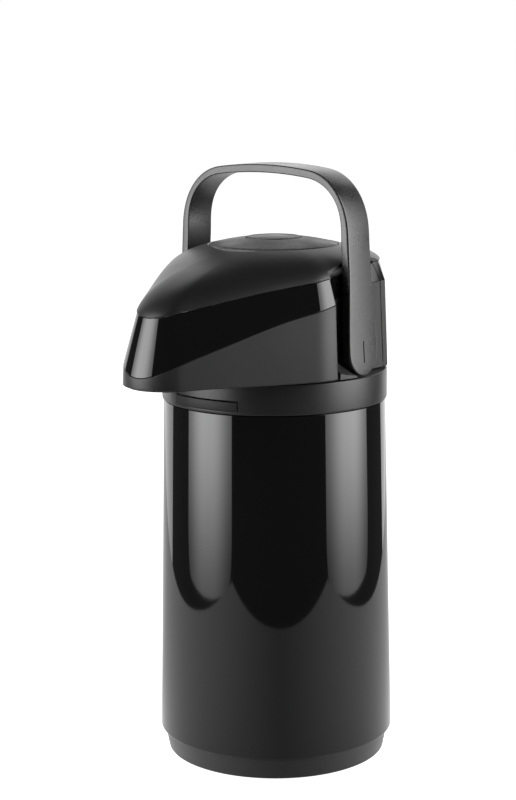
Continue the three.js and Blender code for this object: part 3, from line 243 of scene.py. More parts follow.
# Sockets of a Mix node that blends colours
COLOUR_A = 6
COLOUR_B = 7
COLOUR_OUT = 2


class Nodes:
    """A short way to build a node tree."""

    def __init__(self, name):
        self.material = bpy.data.materials.new(name)
        self.material.use_nodes = True
        self.tree = self.material.node_tree
        self.shader = self.tree.nodes["Principled BSDF"]
        self.place = self.add("ShaderNodeTexCoord").outputs["Object"]

    def add(self, kind, inputs=None, **settings):
        node = self.tree.nodes.new(kind)
        for key, value in settings.items():
            setattr(node, key, value)
        for key, value in (inputs or {}).items():
            if isinstance(value, bpy.types.NodeSocket):
                self.tree.links.new(value, node.inputs[key])
            else:
                node.inputs[key].default_value = value
        return node

    def noise(self, scale, detail=2.0, roughness=0.5):
        inputs = {"Vector": self.place, "Scale": scale, "Detail": detail, "Roughness": roughness}
        return self.add("ShaderNodeTexNoise", inputs).outputs["Fac"]

    def spread(self, value, low, high):
        """The middle of a noise stretched to run from low to high."""
        inputs = {"Value": value, "From Min": 0.3, "From Max": 0.7, "To Min": low, "To Max": high}
        return self.add("ShaderNodeMapRange", inputs).outputs["Result"]

    def mix_colours(self, share, first, second):
        inputs = {"Factor": share, COLOUR_A: first, COLOUR_B: second}
        return self.add("ShaderNodeMix", inputs, data_type="RGBA").outputs[COLOUR_OUT]

    def link(self, value, socket):
        self.tree.links.new(value, self.shader.inputs[socket])


def grey(level):
    return (level, level, level, 1)


def plastic(name, level, roughness, grain=0.0, grain_scale=1500.0, uneven=0.15, specular=0.5):
    """Moulded plastic with a texture grain millimetres deep; uneven is how much its tone and polish vary."""
    n = Nodes(name)
    mottle = n.spread(n.noise(grain_scale * 0.5, 3.0), 0.0, 1.0)
    n.link(n.mix_colours(mottle, grey(level * (1 - uneven)), grey(level * (1 + uneven))), "Base Color")
    patches = n.noise(PATCH_SCALE, 3.0)
    n.link(n.spread(patches, roughness * (1 - uneven * 0.5), roughness * (1 + uneven * 0.5)), "Roughness")
    n.shader.inputs["Specular IOR Level"].default_value = specular
    n.shader.inputs["IOR"].default_value = PLASTIC_IOR
    if grain:
        inputs = {"Height": n.noise(grain_scale, 2.0, 0.6), "Distance": grain * MM, "Strength": 1.0}
        n.link(n.add("ShaderNodeBump", inputs).outputs["Normal"], "Normal")
    return n.material


def metal(name, level, roughness):
    """Bare metal, a little uneven in tone and polish."""
    n = Nodes(name)
    n.shader.inputs["Metallic"].default_value = 1.0
    n.link(n.spread(n.noise(60.0, 3.0), roughness * 0.8, roughness * 1.3), "Roughness")
    n.link(n.mix_colours(n.noise(400.0, 2.0), grey(level * 0.9), grey(level * 1.05)), "Base Color")
    return n.material


FINE_GRAIN = {"grain": 0.004, "grain_scale": 1800.0}
SHELL_GRAIN = {"grain": 0.008, "grain_scale": 1600.0}
COARSE_GRAIN = {"grain": 0.03, "grain_scale": 1300.0}
RUBBER_GRAIN = {"grain": 0.02, "grain_scale": 900.0}
SOFT_GRAIN = {"grain": 0.01, "grain_scale": 900.0}
BODY_BLACK = plastic("body_black", 0.0035, 0.045, uneven=0.1)
BAND_BLACK = plastic("band_black", 0.003, 0.04, uneven=0.1)
BASE_SATIN = plastic("base_satin", 0.016, 0.38, **FINE_GRAIN)
COLLAR_SATIN = plastic("collar_satin", 0.016, 0.34, specular=0.33, **FINE_GRAIN)
# The release button's satin is a darker, less shiny copy of the collar's: painted shade from the beak above
# it.
LATCH_SATIN_IN_SHADE = plastic("latch_satin_painted_shade", 0.014, 0.42, specular=0.16, **FINE_GRAIN)
SKIRT_SATIN = plastic("skirt_satin", 0.014, 0.45, specular=0.35, **SHELL_GRAIN)
DOME_SATIN = plastic("dome_satin", 0.008, 0.38, specular=0.35, **SHELL_GRAIN)
PLATE_TEXTURED = plastic("plate_textured", 0.045, 0.52, uneven=0.5, specular=0.42, **COARSE_GRAIN)
HANDLE_TEXTURED = plastic("handle_textured", 0.022, 0.3, uneven=0.45, **COARSE_GRAIN)
RUBBER = plastic("rubber", 0.012, 0.8, **RUBBER_GRAIN)
SILICONE = plastic("silicone", 0.55, 0.55, uneven=0.06, **SOFT_GRAIN)
NATURAL = plastic("natural_plastic", 0.6, 0.4, uneven=0.05, **SOFT_GRAIN)
GLASS = plastic("silvered_glass", 0.5, 0.1, uneven=0.06)
STEEL = metal("steel", 0.6, 0.3)


def dress(piece, material, body, slot, *nodes):
    """Gives a piece its material and the CAD body it rides on, and hides the nodes it stands for; slot is not
    used.
    """
    piece.data.materials.clear()
    piece.data.materials.append(material)
    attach(piece, body)
    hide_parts(*nodes)


# ---------------------------------------------------------------- body, base and collar
def body_radius(z):
    share = (z - BODY_LOW) / (BODY_HIGH - BODY_LOW)
    return BODY_RADIUS + (BODY_TOP_RADIUS - BODY_RADIUS) * share


def make_body():
    corners = [
        (BODY_RADIUS, BODY_LOW),
        (BODY_TOP_RADIUS, BODY_HIGH),
        (BODY_TOP_RADIUS - BODY_WALL, BODY_HIGH),
        (BODY_RADIUS - BODY_WALL, BODY_LOW),
    ]
    outline = rounded(corners, {0: 1.3, 1: 0.5}, 6)
    dress(turned("body_wall", outline, 192), BODY_BLACK, "vessel", "body_gloss", "body_shell")


def make_base():
    foot_top = high_mm("foot_pad").z
    foot_radius = high_mm("foot_pad").x
    low = low_mm("base_cap").z
    top = BODY_LOW - BASE_SEAM
    spigot_top = high_mm("base_cap").z
    spigot = body_radius(spigot_top) - BODY_WALL - GAP
    wall = 2
    floor = low + 4
    corners = [
        (0, foot_top + GAP),
        (foot_radius + GAP, foot_top + GAP),
        (foot_radius + GAP, low),
        (BASE_BOTTOM_RADIUS, low),
        (BASE_TOP_RADIUS, top),
        (spigot, top),
        (spigot, spigot_top),
        (spigot - wall, spigot_top),
        (spigot - 2 * wall, floor),
        (0, floor),
    ]
    outline = rounded(corners, {3: 1.4, 4: 0.5}, 4)
    dress(turned("base_moulding", outline), BASE_SATIN, "vessel", "base_plastic", "base_cap")
    disc = [(0, 0), (foot_radius, 0), (foot_radius, foot_top), (0, foot_top)]
    foot = turned("foot_rubber_disc", rounded(disc, {1: 0.4}), 120)
    dress(foot, RUBBER, "vessel", "foot_rubber", "foot_pad")


HINGE_Y = (low_mm("hinge_pin").y + high_mm("hinge_pin").y) / 2
HINGE_Z = (low_mm("hinge_pin").z + high_mm("hinge_pin").z) / 2
KNUCKLE = 3.6  # radius of the hinge's knuckles
KNUCKLE_HALF = 9  # half the length of the head's knuckle
KNUCKLE_GAP = 0.4
LUG_LENGTH = 8  # of the collar's knuckle on either side
PIN_HOLE = 1.9
PIN_REACH = 30
LATCH_DEPTH = 2.9  # room behind the release button for its travel
LATCH_ROOM = 0.8  # room over the release button
HOOK_ROOM = 1.2  # room round the latch hook


def make_collar():
    spigot = BODY_TOP_RADIUS - BODY_WALL - GAP
    spigot_inside = spigot - 2
    spigot_low = low_mm("collar_ring").z
    wall = 3
    deck_top = COLLAR_HIGH - 9.5
    deck_low = deck_top - wall
    rim = COLLAR_RADIUS - 14
    mouth = 27
    corners = [
        (spigot_inside, spigot_low),
        (spigot, spigot_low),
        (spigot, COLLAR_LOW),
        (COLLAR_RADIUS, COLLAR_LOW),
        (COLLAR_RADIUS, COLLAR_HIGH),
        (rim, COLLAR_HIGH),
        (rim, deck_top),
        (mouth, deck_top),
        (mouth, deck_low),
        (rim - wall, deck_low),
        (rim + wall, COLLAR_HIGH - wall),
        (spigot_inside, COLLAR_HIGH - wall),
    ]
    collar = turned("collar", rounded(corners, {3: 1, 4: 1.1, 5: 0.6}))
    near = KNUCKLE_HALF + KNUCKLE_GAP
    far = near + LUG_LENGTH
    web_y = COLLAR_RADIUS - 2.6
    web_z = COLLAR_HIGH - 12
    lugs = []
    for x0, x1 in ((-far, -near), (near, far)):
        lugs.append(rod_x(KNUCKLE, x0, x1, HINGE_Y, HINGE_Z))
        lugs.append(block((x0, web_y, web_z), (x1, HINGE_Y + KNUCKLE - 0.4, HINGE_Z)))
    combine(collar, lugs, "UNION")
    pocket_low = (LATCH_LOW.x - GAP, -COLLAR_RADIUS - 1, LATCH_LOW.z - GAP)
    pocket_high = (LATCH_HIGH.x + GAP, LATCH_HIGH.y + LATCH_DEPTH, LATCH_HIGH.z + LATCH_ROOM)
    hook_low = low_mm("latch_hook")
    hook_high = high_mm("latch_hook")
    slot_low = (hook_low.x - HOOK_ROOM, hook_low.y - HOOK_ROOM, COLLAR_HIGH - 4)
    slot_high = (hook_high.x + HOOK_ROOM, hook_high.y + HOOK_ROOM, COLLAR_HIGH + 1)
    cutters = [
        rod_x(KNUCKLE + KNUCKLE_GAP, -near, near, HINGE_Y, HINGE_Z),
        rod_x(PIN_HOLE, -PIN_REACH, PIN_REACH, HINGE_Y, HINGE_Z, 24),
        block(pocket_low, pocket_high),
        block(slot_low, slot_high),
    ]
    combine(collar, cutters, "DIFFERENCE")
    dress(collar, COLLAR_SATIN, "vessel", "collar_satin", "collar_ring")


def make_latch():
    """The release button, a curved bar with rounded outer edges."""
    outer = -LATCH_LOW.y
    depth = LATCH_HIGH.y
    half = LATCH_HIGH.x
    columns = []
    steps = 60
    for i in range(steps + 1):
        x = -half + 2 * half * i / steps
        y = -math.sqrt(outer**2 - x**2)
        corners = [(y, LATCH_LOW.z), (y, LATCH_HIGH.z), (depth, LATCH_HIGH.z), (depth, LATCH_LOW.z)]
        columns.append([(x, p.x, p.y) for p in rounded(corners, {0: 0.5, 1: 0.5}, 3)])
    bar = loft("release_bar", columns, False)
    # Its darker satin is painted shade from the beak above.
    dress(bar, LATCH_SATIN_IN_SHADE, "latch", "collar_satin", "latch_button")


# ---------------------------------------------------------------- head
# Seen from above, the head's outline is the nose's arc, a straight flank, a bend and a round rear.
NOSE_RADIUS = 27
FLANK = math.radians(62)  # direction of the flank, from +X
FLANK_END = Vector((66.5, -41))
FLANK_BEND = 0.45  # how far the flank carries on into the bend, as a share of the bend's chord
JOIN = math.radians(80)  # direction in which the bend meets the rear
JOIN_BEND = 0.35
JOIN_AHEAD = 4  # how far in front of the side channels the rear begins
REAR_RADIUS = 74.6
CHANNEL_FRONT = high_mm("beak_skirt").y
CHANNEL_REAR = 20
RECESS_X = PLATE_X + GAP
HEAD_UNDER = HEAD_LOW - 20  # below everything the head's cutters have to reach
# The height of each edge over HEAD_LOW, and its bends as (y, length, slope gained on the way to the beak).
LOWER_EDGE = {"rise": 0, "bends": [(-55, 20, -0.025)]}
SKIRT_EDGE = {"rise": 57.3, "bends": [(15, 15, 0.234), (-61.8, 10, 0.131)]}
BAND_EDGE = {"rise": 70.1, "bends": [(20, 15, 0.137), (-67.4, 8, 0.057)]}
SKIRT_SLOPE = math.tan(math.radians(2))
BAND_SLOPE = math.tan(math.radians(16))
TIP_LENGTH = 12.5  # over this length the skirt's top bows down to the tip
TIP_BOW = 0.021
DOME_EDGE = 0.6  # how far the dome stands out over the band's top
PLATE_GAP = 0.6  # groove round the press plate
DOME_SHOULDER = (0.13, 0.5)  # shares of the dome's run and rise
DOME_FLAT = 0.5  # share of the run on which the dome's top slopes by DOME_SLOPE
DOME_SLOPE = 0.27
CUTTER_REACH = 140
KEEP_REACH = 200
LUG_ROOM = 8.8  # room for the collar's knuckles in the rear skirt
LUG_CLEARANCE = 0.7
HALF_COLUMNS = 110


def edge_z(edge, y):
    z = HEAD_LOW + edge["rise"]
    for bend_y, length, fall in edge["bends"]:
        ahead = bend_y - y
        z -= fall * (math.hypot(ahead, length) + ahead) / 2
    return z


def skirt_top(y):
    ahead = max(0, TIP_LENGTH - BEAK_TIP - y)
    return edge_z(SKIRT_EDGE, y) - TIP_BOW * ahead**2


def arc(centre, radius, start, end, steps):
    turns = [start + (end - start) * i / steps for i in range(steps + 1)]
    return [Vector((centre.x + radius * math.cos(t), centre.y + radius * math.sin(t))) for t in turns]


def bezier(a, b, c, d, steps):
    line = []
    for i in range(steps + 1):
        t = i / steps
        line.append(a * (1 - t) ** 3 + b * 3 * t * (1 - t) ** 2 + c * 3 * t**2 * (1 - t) + d * t**3)
    return line


def head_outline():
    """Equally spaced points round the head's lower edge from the nose, each with its outward normal."""
    along = Vector((math.cos(FLANK), math.sin(FLANK)))
    join_turn = math.asin((-CHANNEL_FRONT - JOIN_AHEAD) / REAR_RADIUS)
    join = Vector((math.cos(join_turn), -math.sin(join_turn))) * REAR_RADIUS
    join_along = Vector((math.cos(JOIN), math.sin(JOIN)))
    bend = (FLANK_END - join).length
    bend_start = FLANK_END + along * bend * FLANK_BEND
    bend_end = join - join_along * bend * JOIN_BEND
    nose = Vector((0, NOSE_RADIUS - BEAK_TIP))
    half = arc(nose, NOSE_RADIUS, -math.pi / 2, -math.pi / 2 + FLANK, 400)
    half.append(FLANK_END)
    half += bezier(FLANK_END, bend_start, bend_end, join, 400)[1:]
    half += arc(Vector((0, 0)), REAR_RADIUS, -join_turn, math.pi / 2, 800)[1:]
    path = np.array([(p.x, p.y) for p in half])
    lengths = np.concatenate([[0], np.cumsum(np.hypot(*np.diff(path, axis=0).T))])
    even = np.linspace(0, lengths[-1], HALF_COLUMNS + 1)
    xs = np.interp(even, lengths, path[:, 0])
    ys = np.interp(even, lengths, path[:, 1])
    right = [Vector((x, y)) for x, y in zip(xs, ys)]
    right[0].x = 0
    right[-1].x = 0
    points = right + [Vector((-p.x, p.y)) for p in reversed(right[1:-1])]
    columns = []
    for i, place in enumerate(points):
        run = (points[(i + 1) % len(points)] - points[i - 1]).normalized()
        columns.append((place, Vector((run.y, -run.x))))
    return columns


OUTLINE = head_outline()


def wall_point(column, inset, z):
    place, normal = column
    return (place.x - normal.x * inset, place.y - normal.y * inset, z)


def levels(column):
    """The band's lower and upper height at a column, and how far in the wall has come at each."""
    y = column[0].y
    low = skirt_top(y)
    high = edge_z(BAND_EDGE, y)
    low_inset = SKIRT_SLOPE * (low - HEAD_LOW)
    return low, high, low_inset, low_inset + BAND_SLOPE * (high - low)


def skirt_column(column):
    low, _, low_inset, _ = levels(column)
    bottom = edge_z(LOWER_EDGE, column[0].y)
    corners = [(0, bottom), (low_inset, low), (low_inset + WALL, low), (WALL, bottom)]
    outline = rounded(corners, {0: 0.9, 1: 0.35, 3: 0.4})
    return [wall_point(column, p.x, p.y) for p in outline]


def band_column(column):
    low, high, low_inset, high_inset = levels(column)
    low += GAP
    corners = [(low_inset, low), (high_inset, high), (high_inset + WALL, high), (low_inset + WALL, low)]
    outline = rounded(corners, {0: 0.3, 1: 0.3})
    return [wall_point(column, p.x, p.y) for p in outline]


def dome_rib(column, shift, steps):
    """The dome's surface from the band up to the press plate, at a depth of shift."""
    _, high, _, high_inset = levels(column)
    start = Vector(wall_point(column, high_inset - DOME_EDGE + shift, high + GAP))
    plan = start.xy
    end = plan.normalized() * (BUTTON_RADIUS + PLATE_GAP)
    run = (end - plan).length
    rise = RING_Z - shift - start.z
    profile = bezier(
        Vector((0, 0)),
        Vector((run * DOME_SHOULDER[0], rise * DOME_SHOULDER[1])),
        Vector((run * DOME_FLAT, rise - run * DOME_FLAT * DOME_SLOPE)),
        Vector((run, rise)),
        steps,
    )
    rib = []
    for p in profile:
        flat = plan.lerp(end, p.x / run)
        rib.append(Vector((flat.x, flat.y, start.z + p.y)))
    return rib


def dome_column(column):
    outer = dome_rib(column, 0, 26)
    inner = dome_rib(column, WALL, 10)
    # The lip over the band and the rim round the button have small rounds.
    lip = [outer[0].lerp(inner[0], 0.25), outer[0].lerp(outer[1], 0.3) + (inner[0] - outer[0]) * 0.05]
    rim_in = outer[-1].lerp(inner[-1], 0.3)
    rim_out = outer[-1].lerp(outer[-2], 0.45)
    return [lip[0], lip[1], *outer[1:-1], rim_out, rim_in, *reversed(inner)]


def channel_cutters(front):
    top = RING_Z + 5
    return [
        block((RECESS_X, front, HEAD_UNDER), (CUTTER_REACH, CUTTER_REACH, top)),
        block((-CUTTER_REACH, front, HEAD_UNDER), (-RECESS_X, CUTTER_REACH, top)),
    ]


def front_part(piece):
    keep = block((-KEEP_REACH, -KEEP_REACH, HEAD_UNDER), (KEEP_REACH, CHANNEL_FRONT, RING_Z + 20))
    return soften(combine(piece, [keep], "INTERSECT"), 0.35)


def rear_part(piece):
    combine(piece, channel_cutters(CHANNEL_FRONT - 1), "DIFFERENCE")
    keep = block((-KEEP_REACH, CHANNEL_REAR, HEAD_UNDER), (KEEP_REACH, KEEP_REACH, RING_Z + 20))
    return combine(piece, [keep], "INTERSECT")


def shell(name, column_of):
    return loft(name, [column_of(c) for c in OUTLINE], True)


def make_head():
    skirt = front_part(shell("beak_shell", skirt_column))
    dress(skirt, SKIRT_SATIN, "head", "skirt_satin", "beak_skirt")
    band = front_part(shell("gloss_strip_front", band_column))
    dress(band, BAND_BLACK, "head", "band_gloss", "gloss_band_front")
    strip = rear_part(shell("gloss_strip_rear", band_column))
    dress(strip, BAND_BLACK, "head", "band_gloss", "gloss_band_rear")
    dome = shell("dome_shell", dome_column)
    combine(dome, channel_cutters(CHANNEL_FRONT), "DIFFERENCE")
    dress(dome, DOME_SATIN, "head", "dome_satin", "dome_cover")
    rear = shell("rear_shell", skirt_column)
    reach = KNUCKLE_HALF
    web = block((-reach, REAR_RADIUS - WALL, HEAD_LOW), (reach, HINGE_Y, HINGE_Z + KNUCKLE))
    combine(rear, [rod_x(KNUCKLE, -reach, reach, HINGE_Y, HINGE_Z), web], "UNION")
    near = reach + GAP
    far = near + LUG_ROOM
    radius = KNUCKLE + LUG_CLEARANCE
    cutters = [
        rod_x(radius, near, far, HINGE_Y, HINGE_Z),
        rod_x(radius, -far, -near, HINGE_Y, HINGE_Z),
        rod_x(PIN_HOLE, -PIN_REACH, PIN_REACH, HINGE_Y, HINGE_Z, 24),
    ]
    combine(rear, cutters, "DIFFERENCE")
    dress(rear_part(rear), SKIRT_SATIN, "head", "skirt_satin", "rear_skirt")


# ---------------------------------------------------------------- press plate
CROWN = 5.3  # how far the plate's middle stands over its edge
EDGE_WIDTH = 1  # rounded edge of the plate
BADGE_GROOVE = 0.9  # groove round the disc in the plate's middle


def crown_z(radius):
    return RING_Z + CROWN * (1 - (radius / BUTTON_RADIUS) ** 2)


def make_button():
    pocket = BADGE_RADIUS + BADGE_GROOVE
    pocket_low = BADGE_LOW - GAP
    under = RING_Z - 3
    crown_start = BUTTON_RADIUS - EDGE_WIDTH
    crown_end = pocket + 0.5
    edge = [
        (BUTTON_RADIUS, BUTTON_LOW),
        (BUTTON_RADIUS, RING_Z - 0.9),
        (BUTTON_RADIUS - 0.12, RING_Z - 0.45),
        (BUTTON_RADIUS - 0.45, RING_Z - 0.12),
        (crown_start, crown_z(crown_start)),
    ]
    steps = 24
    crown = []
    for i in range(1, steps + 1):
        radius = crown_start + (crown_end - crown_start) * i / steps
        crown.append((radius, crown_z(radius)))
    lip = [(pocket + 0.15, crown_z(pocket) - 0.1), (pocket, crown_z(pocket) - 0.35), (pocket, pocket_low)]
    inside = [(BUTTON_RADIUS - WALL, under), (BUTTON_RADIUS - WALL, BUTTON_LOW)]
    profile = [(0, under), *inside, *edge, *crown, *lip, (0, pocket_low)]
    dress(turned("press_plate", profile), PLATE_TEXTURED, "button", "button_matte", "button_plate")
    disc = [
        (0, BADGE_LOW),
        (BADGE_RADIUS, BADGE_LOW),
        (BADGE_RADIUS, BADGE_TOP - 0.5),
        (BADGE_RADIUS - 0.15, BADGE_TOP - 0.15),
        (BADGE_RADIUS - 0.5, BADGE_TOP),
        (BADGE_RADIUS - 1.2, BADGE_TOP),
        (BADGE_RADIUS - 1.5, BADGE_TOP - 0.25),
        (0, BADGE_TOP - 0.25),
    ]
    dress(turned("plate_disc", disc, 96), PLATE_TEXTURED, "button", "button_matte", "button_badge")


# ---------------------------------------------------------------- handle
PIVOT_Z = (low_mm("pivot_pin_right").z + high_mm("pivot_pin_right").z) / 2
ARM_HALF_WIDTH = 72.5  # from the middle to an arm's outer face at the pivots
ARM_LEAN = math.tan(math.radians(3.2))
THICK = 5.8
THICK_CORNER = 4.6
END_RADIUS = 15
GRIP_HALF = 12  # half the breadth of the grip
GRIP_RISE = 53.7  # height over the pivots at which the arms are as narrow as the grip
CORNER_X = 36  # where the grip's corner begins
CORNER_RISE = 75.7  # height over the pivots at which the arm's corner begins
CORNER_PULL = 0.56  # how square the corner is
GRIP_CROWN = 2.4  # how far the grip's middle stands over its corners
GROOVE_DEPTH = 0.9
GROOVE_HALF_WIDTH = 0.5
GROOVE_HALF_LENGTH = 7


def smoothstep(x, low, high):
    t = min(max((x - low) / (high - low), 0), 1)
    return t * t * (3 - 2 * t)


def handle_line():
    """The middle of the right half, from the arm's end to the top, as (x, z, half breadth, thickness)."""
    corner_z = PIVOT_Z + CORNER_RISE
    middle = ARM_HALF_WIDTH - THICK / 2

    def arm_x(z):
        return middle - ARM_LEAN * (z - PIVOT_Z)

    def top_z(x):
        return HANDLE_TOP - THICK / 2 - GRIP_CROWN * (x / CORNER_X) ** 2

    turns = [math.radians(90 * (1 - i / 16)) for i in range(17)]
    line = [Vector((0, PIVOT_Z - END_RADIUS * math.sin(turn))) for turn in turns]
    line[0].y += 0.02  # keeps the first station from shrinking to a point
    line += [Vector((0, PIVOT_Z + (corner_z - PIVOT_Z) * i / 10)) for i in range(1, 11)]
    for p in line:
        p.x = arm_x(p.y)
    start = line[-1].copy()
    end = Vector((CORNER_X, top_z(CORNER_X)))
    up = (end.y - start.y) * CORNER_PULL
    out = (start.x - end.x) * CORNER_PULL
    slope = 2 * GRIP_CROWN / CORNER_X
    line += bezier(
        start,
        Vector((start.x - ARM_LEAN * up, start.y + up)),
        Vector((end.x + out, end.y - slope * out)),
        end,
        26,
    )[1:]
    grip_xs = [CORNER_X * (1 - i / 8) for i in range(1, 9)]
    line += [Vector((x, top_z(x))) for x in grip_xs]
    turn_z = (corner_z + HANDLE_TOP) / 2
    stations = []
    for p in line:
        if p.y <= PIVOT_Z:
            half = math.sqrt(max(END_RADIUS**2 - (PIVOT_Z - p.y) ** 2, 0.05))
        else:
            half = END_RADIUS + (GRIP_HALF - END_RADIUS) * smoothstep(p.y, PIVOT_Z, PIVOT_Z + GRIP_RISE)
        away = abs(p.y - turn_z) / (HANDLE_TOP - turn_z)
        thickness = THICK_CORNER + (THICK - THICK_CORNER) * smoothstep(away, 0, 1.4)
        stations.append((p.x, p.y, half, thickness))
    return stations


def make_handle():
    right = handle_line()
    line = right + [(-x, z, half, thickness) for x, z, half, thickness in reversed(right[:-1])]
    columns = []
    for i, (x, z, half, thickness) in enumerate(line):
        before = line[max(i - 1, 0)]
        after = line[min(i + 1, len(line) - 1)]
        along = Vector((after[0] - before[0], after[1] - before[1])).normalized()
        outward = Vector((along.y, -along.x))
        outer = THICK / 2
        inner = outer - thickness
        corners = [(outer, half), (inner, half), (inner, -half), (outer, -half)]
        bevel = min(1.5, half * 0.5)
        small = min(0.9, half * 0.4)
        outline = rounded(corners, {0: bevel, 1: small, 2: small, 3: bevel}, 5)
        columns.append([(x + outward.x * p.x, p.y, z + outward.y * p.x) for p in outline])
    handle = loft("carrying_handle", columns, False)
    near = ARM_HALF_WIDTH - GROOVE_DEPTH
    far = ARM_HALF_WIDTH + 0.4
    low_z = PIVOT_Z - GROOVE_HALF_LENGTH
    high_z = PIVOT_Z + GROOVE_HALF_LENGTH
    grooves = []
    for x0, x1 in ((-far, -near), (near, far)):
        grooves.append(block((x0, -GROOVE_HALF_WIDTH, low_z), (x1, GROOVE_HALF_WIDTH, high_z)))
    combine(handle, grooves, "DIFFERENCE")
    dress(handle, HANDLE_TEXTURED, "handle", "handle_matte", "handle_bail")


# ---------------------------------------------------------------- carried-over CAD pieces
CARRIED = {
    SKIRT_SATIN: ["pivot_plate_right", "pivot_plate_left", "base_pan", "latch_hook", "spout_nozzle"],
    BAND_BLACK: ["band_insert_right", "band_insert_left"],
    RUBBER: ["liner_cushion", "bellows"],
    SILICONE: ["liner_gasket", "stopper_seal", "air_valve_flap", "joint_seal", "neck_seal"],
    NATURAL: [
        "stopper",
        "dip_tube",
        "pump_housing",
        "spout_tube",
        "pivot_bush_right",
        "pivot_bush_left",
        "button_stem",
    ],
    GLASS: ["glass_liner_outer", "glass_liner_inner"],
    STEEL: [
        "hinge_pin",
        "pivot_pin_right",
        "pivot_pin_left",
        "return_spring",
        *[f"head_screw_{i}" for i in range(1, 5)],
    ],
}


def make_carried():
    for material, names in CARRIED.items():
        for name in names:
            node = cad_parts[name]
            node.data.materials.clear()
            node.data.materials.append(material)


# ---------------------------------------------------------------- stage, lights and camera
CAMERA_PLACE = Vector((0.8040, -1.0284, 0.47676))
CAMERA_HEADING = 38.5  # degrees from +Y towards -X
CAMERA_PITCH = 10.39
CAMERA_ROLL = 0.37
LENS = 90.1
SENSOR = 36
FLOOR_HALF = 6.0
FLOOR_TONE = 0.5
CARD_DROP = 0.0005  # how far the mirrored table lies under the floor
TABLE_HALF = 0.46
TABLE_AHEAD = 0.445  # how far the table runs towards the camera
TABLE_TURN = 4  # degrees
TABLE_FRONT = 0.34  # light of the table's front
TABLE_SIDE = 0.75  # what its sides add to that
TABLE_BACK = 0.7  # share of TABLE_SIDE at its back
TABLE_POWER = 1.5
WALL_BACK = 1.6
WALL_ENDS = (-127.5, 138.5)  # degrees round the object
WALL_LIGHT = 1.5
WALL_HEIGHT = 2.4
WALL_MIDDLE = 0.5
WORLD_LIGHT = 0.06
WORLD_SEEN = 1.0  # what the camera sees of the world
SOFTBOX_BACK = 1.0
SOFTBOX_LEFT = (-96.2, -43.3)
SOFTBOX_RIGHT = (50.6, 104.7)
SOFTBOX_ENDS = (-0.122, 1.25)  # heights
SOFTBOX_CORNER = 0.1
SOFTBOX_FADE = (-0.16, 0.2)  # the light grows between these heights
SOFTBOX_WEAK = 1.5
SOFTBOX_STRONG = 7.6
SOFTBOX_SIDE = 0.3  # light at the sides as a share of the middle's
SOFTBOX_SPREAD = (0.15, 1.05)  # the light falls between these shares of the half width


def emission(name, strength_nodes):
    material = bpy.data.materials.new(name)
    material.use_nodes = True
    tree = material.node_tree
    tree.nodes.clear()
    out = tree.nodes.new("ShaderNodeOutputMaterial")
    light = tree.nodes.new("ShaderNodeEmission")
    tree.links.new(light.outputs[0], out.inputs["Surface"])
    strength_nodes(tree, light)
    return material


def constant(strength):
    def build(tree, light):
        light.inputs["Strength"].default_value = strength

    return build


def value_map(tree, value, low, high, to_low, to_high):
    """Runs smoothly from one value to another over a range."""
    node = tree.nodes.new("ShaderNodeMapRange")
    node.interpolation_type = "SMOOTHSTEP"
    node.inputs["From Min"].default_value = low
    node.inputs["From Max"].default_value = high
    node.inputs["To Min"].default_value = to_low
    node.inputs["To Max"].default_value = to_high
    tree.links.new(value, node.inputs["Value"])
    return node.outputs["Result"]


def calculate(tree, operation, *values):
    node = tree.nodes.new("ShaderNodeMath")
    node.operation = operation
    for socket, value in zip(node.inputs, values):
        if isinstance(value, bpy.types.NodeSocket):
            tree.links.new(value, socket)
        else:
            socket.default_value = value
    return node.outputs[0]


def soft_glow(half_width, middle_z):
    """A softbox: brightest up its middle line, weaker towards both sides and towards its lower end."""

    def build(tree, light):
        place = tree.nodes.new("ShaderNodeTexCoord")
        split = tree.nodes.new("ShaderNodeSeparateXYZ")
        tree.links.new(place.outputs["Object"], split.inputs[0])
        side = calculate(tree, "ABSOLUTE", split.outputs["X"])
        near, far = SOFTBOX_SPREAD
        across = value_map(tree, side, near * half_width, far * half_width, 1.0, SOFTBOX_SIDE)
        low, high = SOFTBOX_FADE
        height = split.outputs["Y"]
        up = value_map(tree, height, low - middle_z, high - middle_z, SOFTBOX_WEAK, SOFTBOX_STRONG)
        tree.links.new(calculate(tree, "MULTIPLY", across, up), light.inputs["Strength"])

    return build


def table_glow(tree, light):
    """The table is dim towards the camera and bright at its sides and back."""
    place = tree.nodes.new("ShaderNodeTexCoord")
    direction = tree.nodes.new("ShaderNodeVectorMath")
    direction.operation = "NORMALIZE"
    tree.links.new(place.outputs["Object"], direction.inputs[0])
    split = tree.nodes.new("ShaderNodeSeparateXYZ")
    tree.links.new(direction.outputs[0], split.inputs[0])
    side = calculate(tree, "POWER", calculate(tree, "ABSOLUTE", split.outputs["X"]), TABLE_POWER)
    back = calculate(tree, "MULTIPLY", split.outputs["Y"], TABLE_BACK)
    share = calculate(tree, "MAXIMUM", side, back)
    tree.links.new(calculate(tree, "MULTIPLY_ADD", share, TABLE_SIDE, TABLE_FRONT), light.inputs["Strength"])


def flat_sheet(name, corners, z, material):
    mesh = bpy.data.meshes.new(name)
    mesh.from_pydata([(p[0], p[1], z) for p in corners], [], [tuple(range(len(corners)))])
    mesh.materials.append(material)
    return add_object(name, mesh)


def panel(name, width, height, place, facing, material, corner=0.0):
    """An upright panel that faces a point, with its X along its width and its lower corners rounded."""
    half_w = width / 2
    half_h = height / 2
    corners = [(-half_w, -half_h), (half_w, -half_h), (half_w, half_h), (-half_w, half_h)]
    if corner:
        corners = rounded(corners, {0: corner, 1: corner}, 12)
    sheet = flat_sheet(name, corners, 0, material)
    turn = (Vector(facing) - Vector(place)).to_track_quat("Z", "Y")
    sheet.matrix_world = Matrix.LocRotScale(Vector(place), turn, None)
    sheet.visible_camera = False


def round_place(angle, distance, height):
    """A place round the object; angle 0 is towards the camera and 90 is to the picture's right."""
    turn = math.radians(CAMERA_HEADING - 90 + angle)
    return Vector((distance * math.cos(turn), distance * math.sin(turn), height))


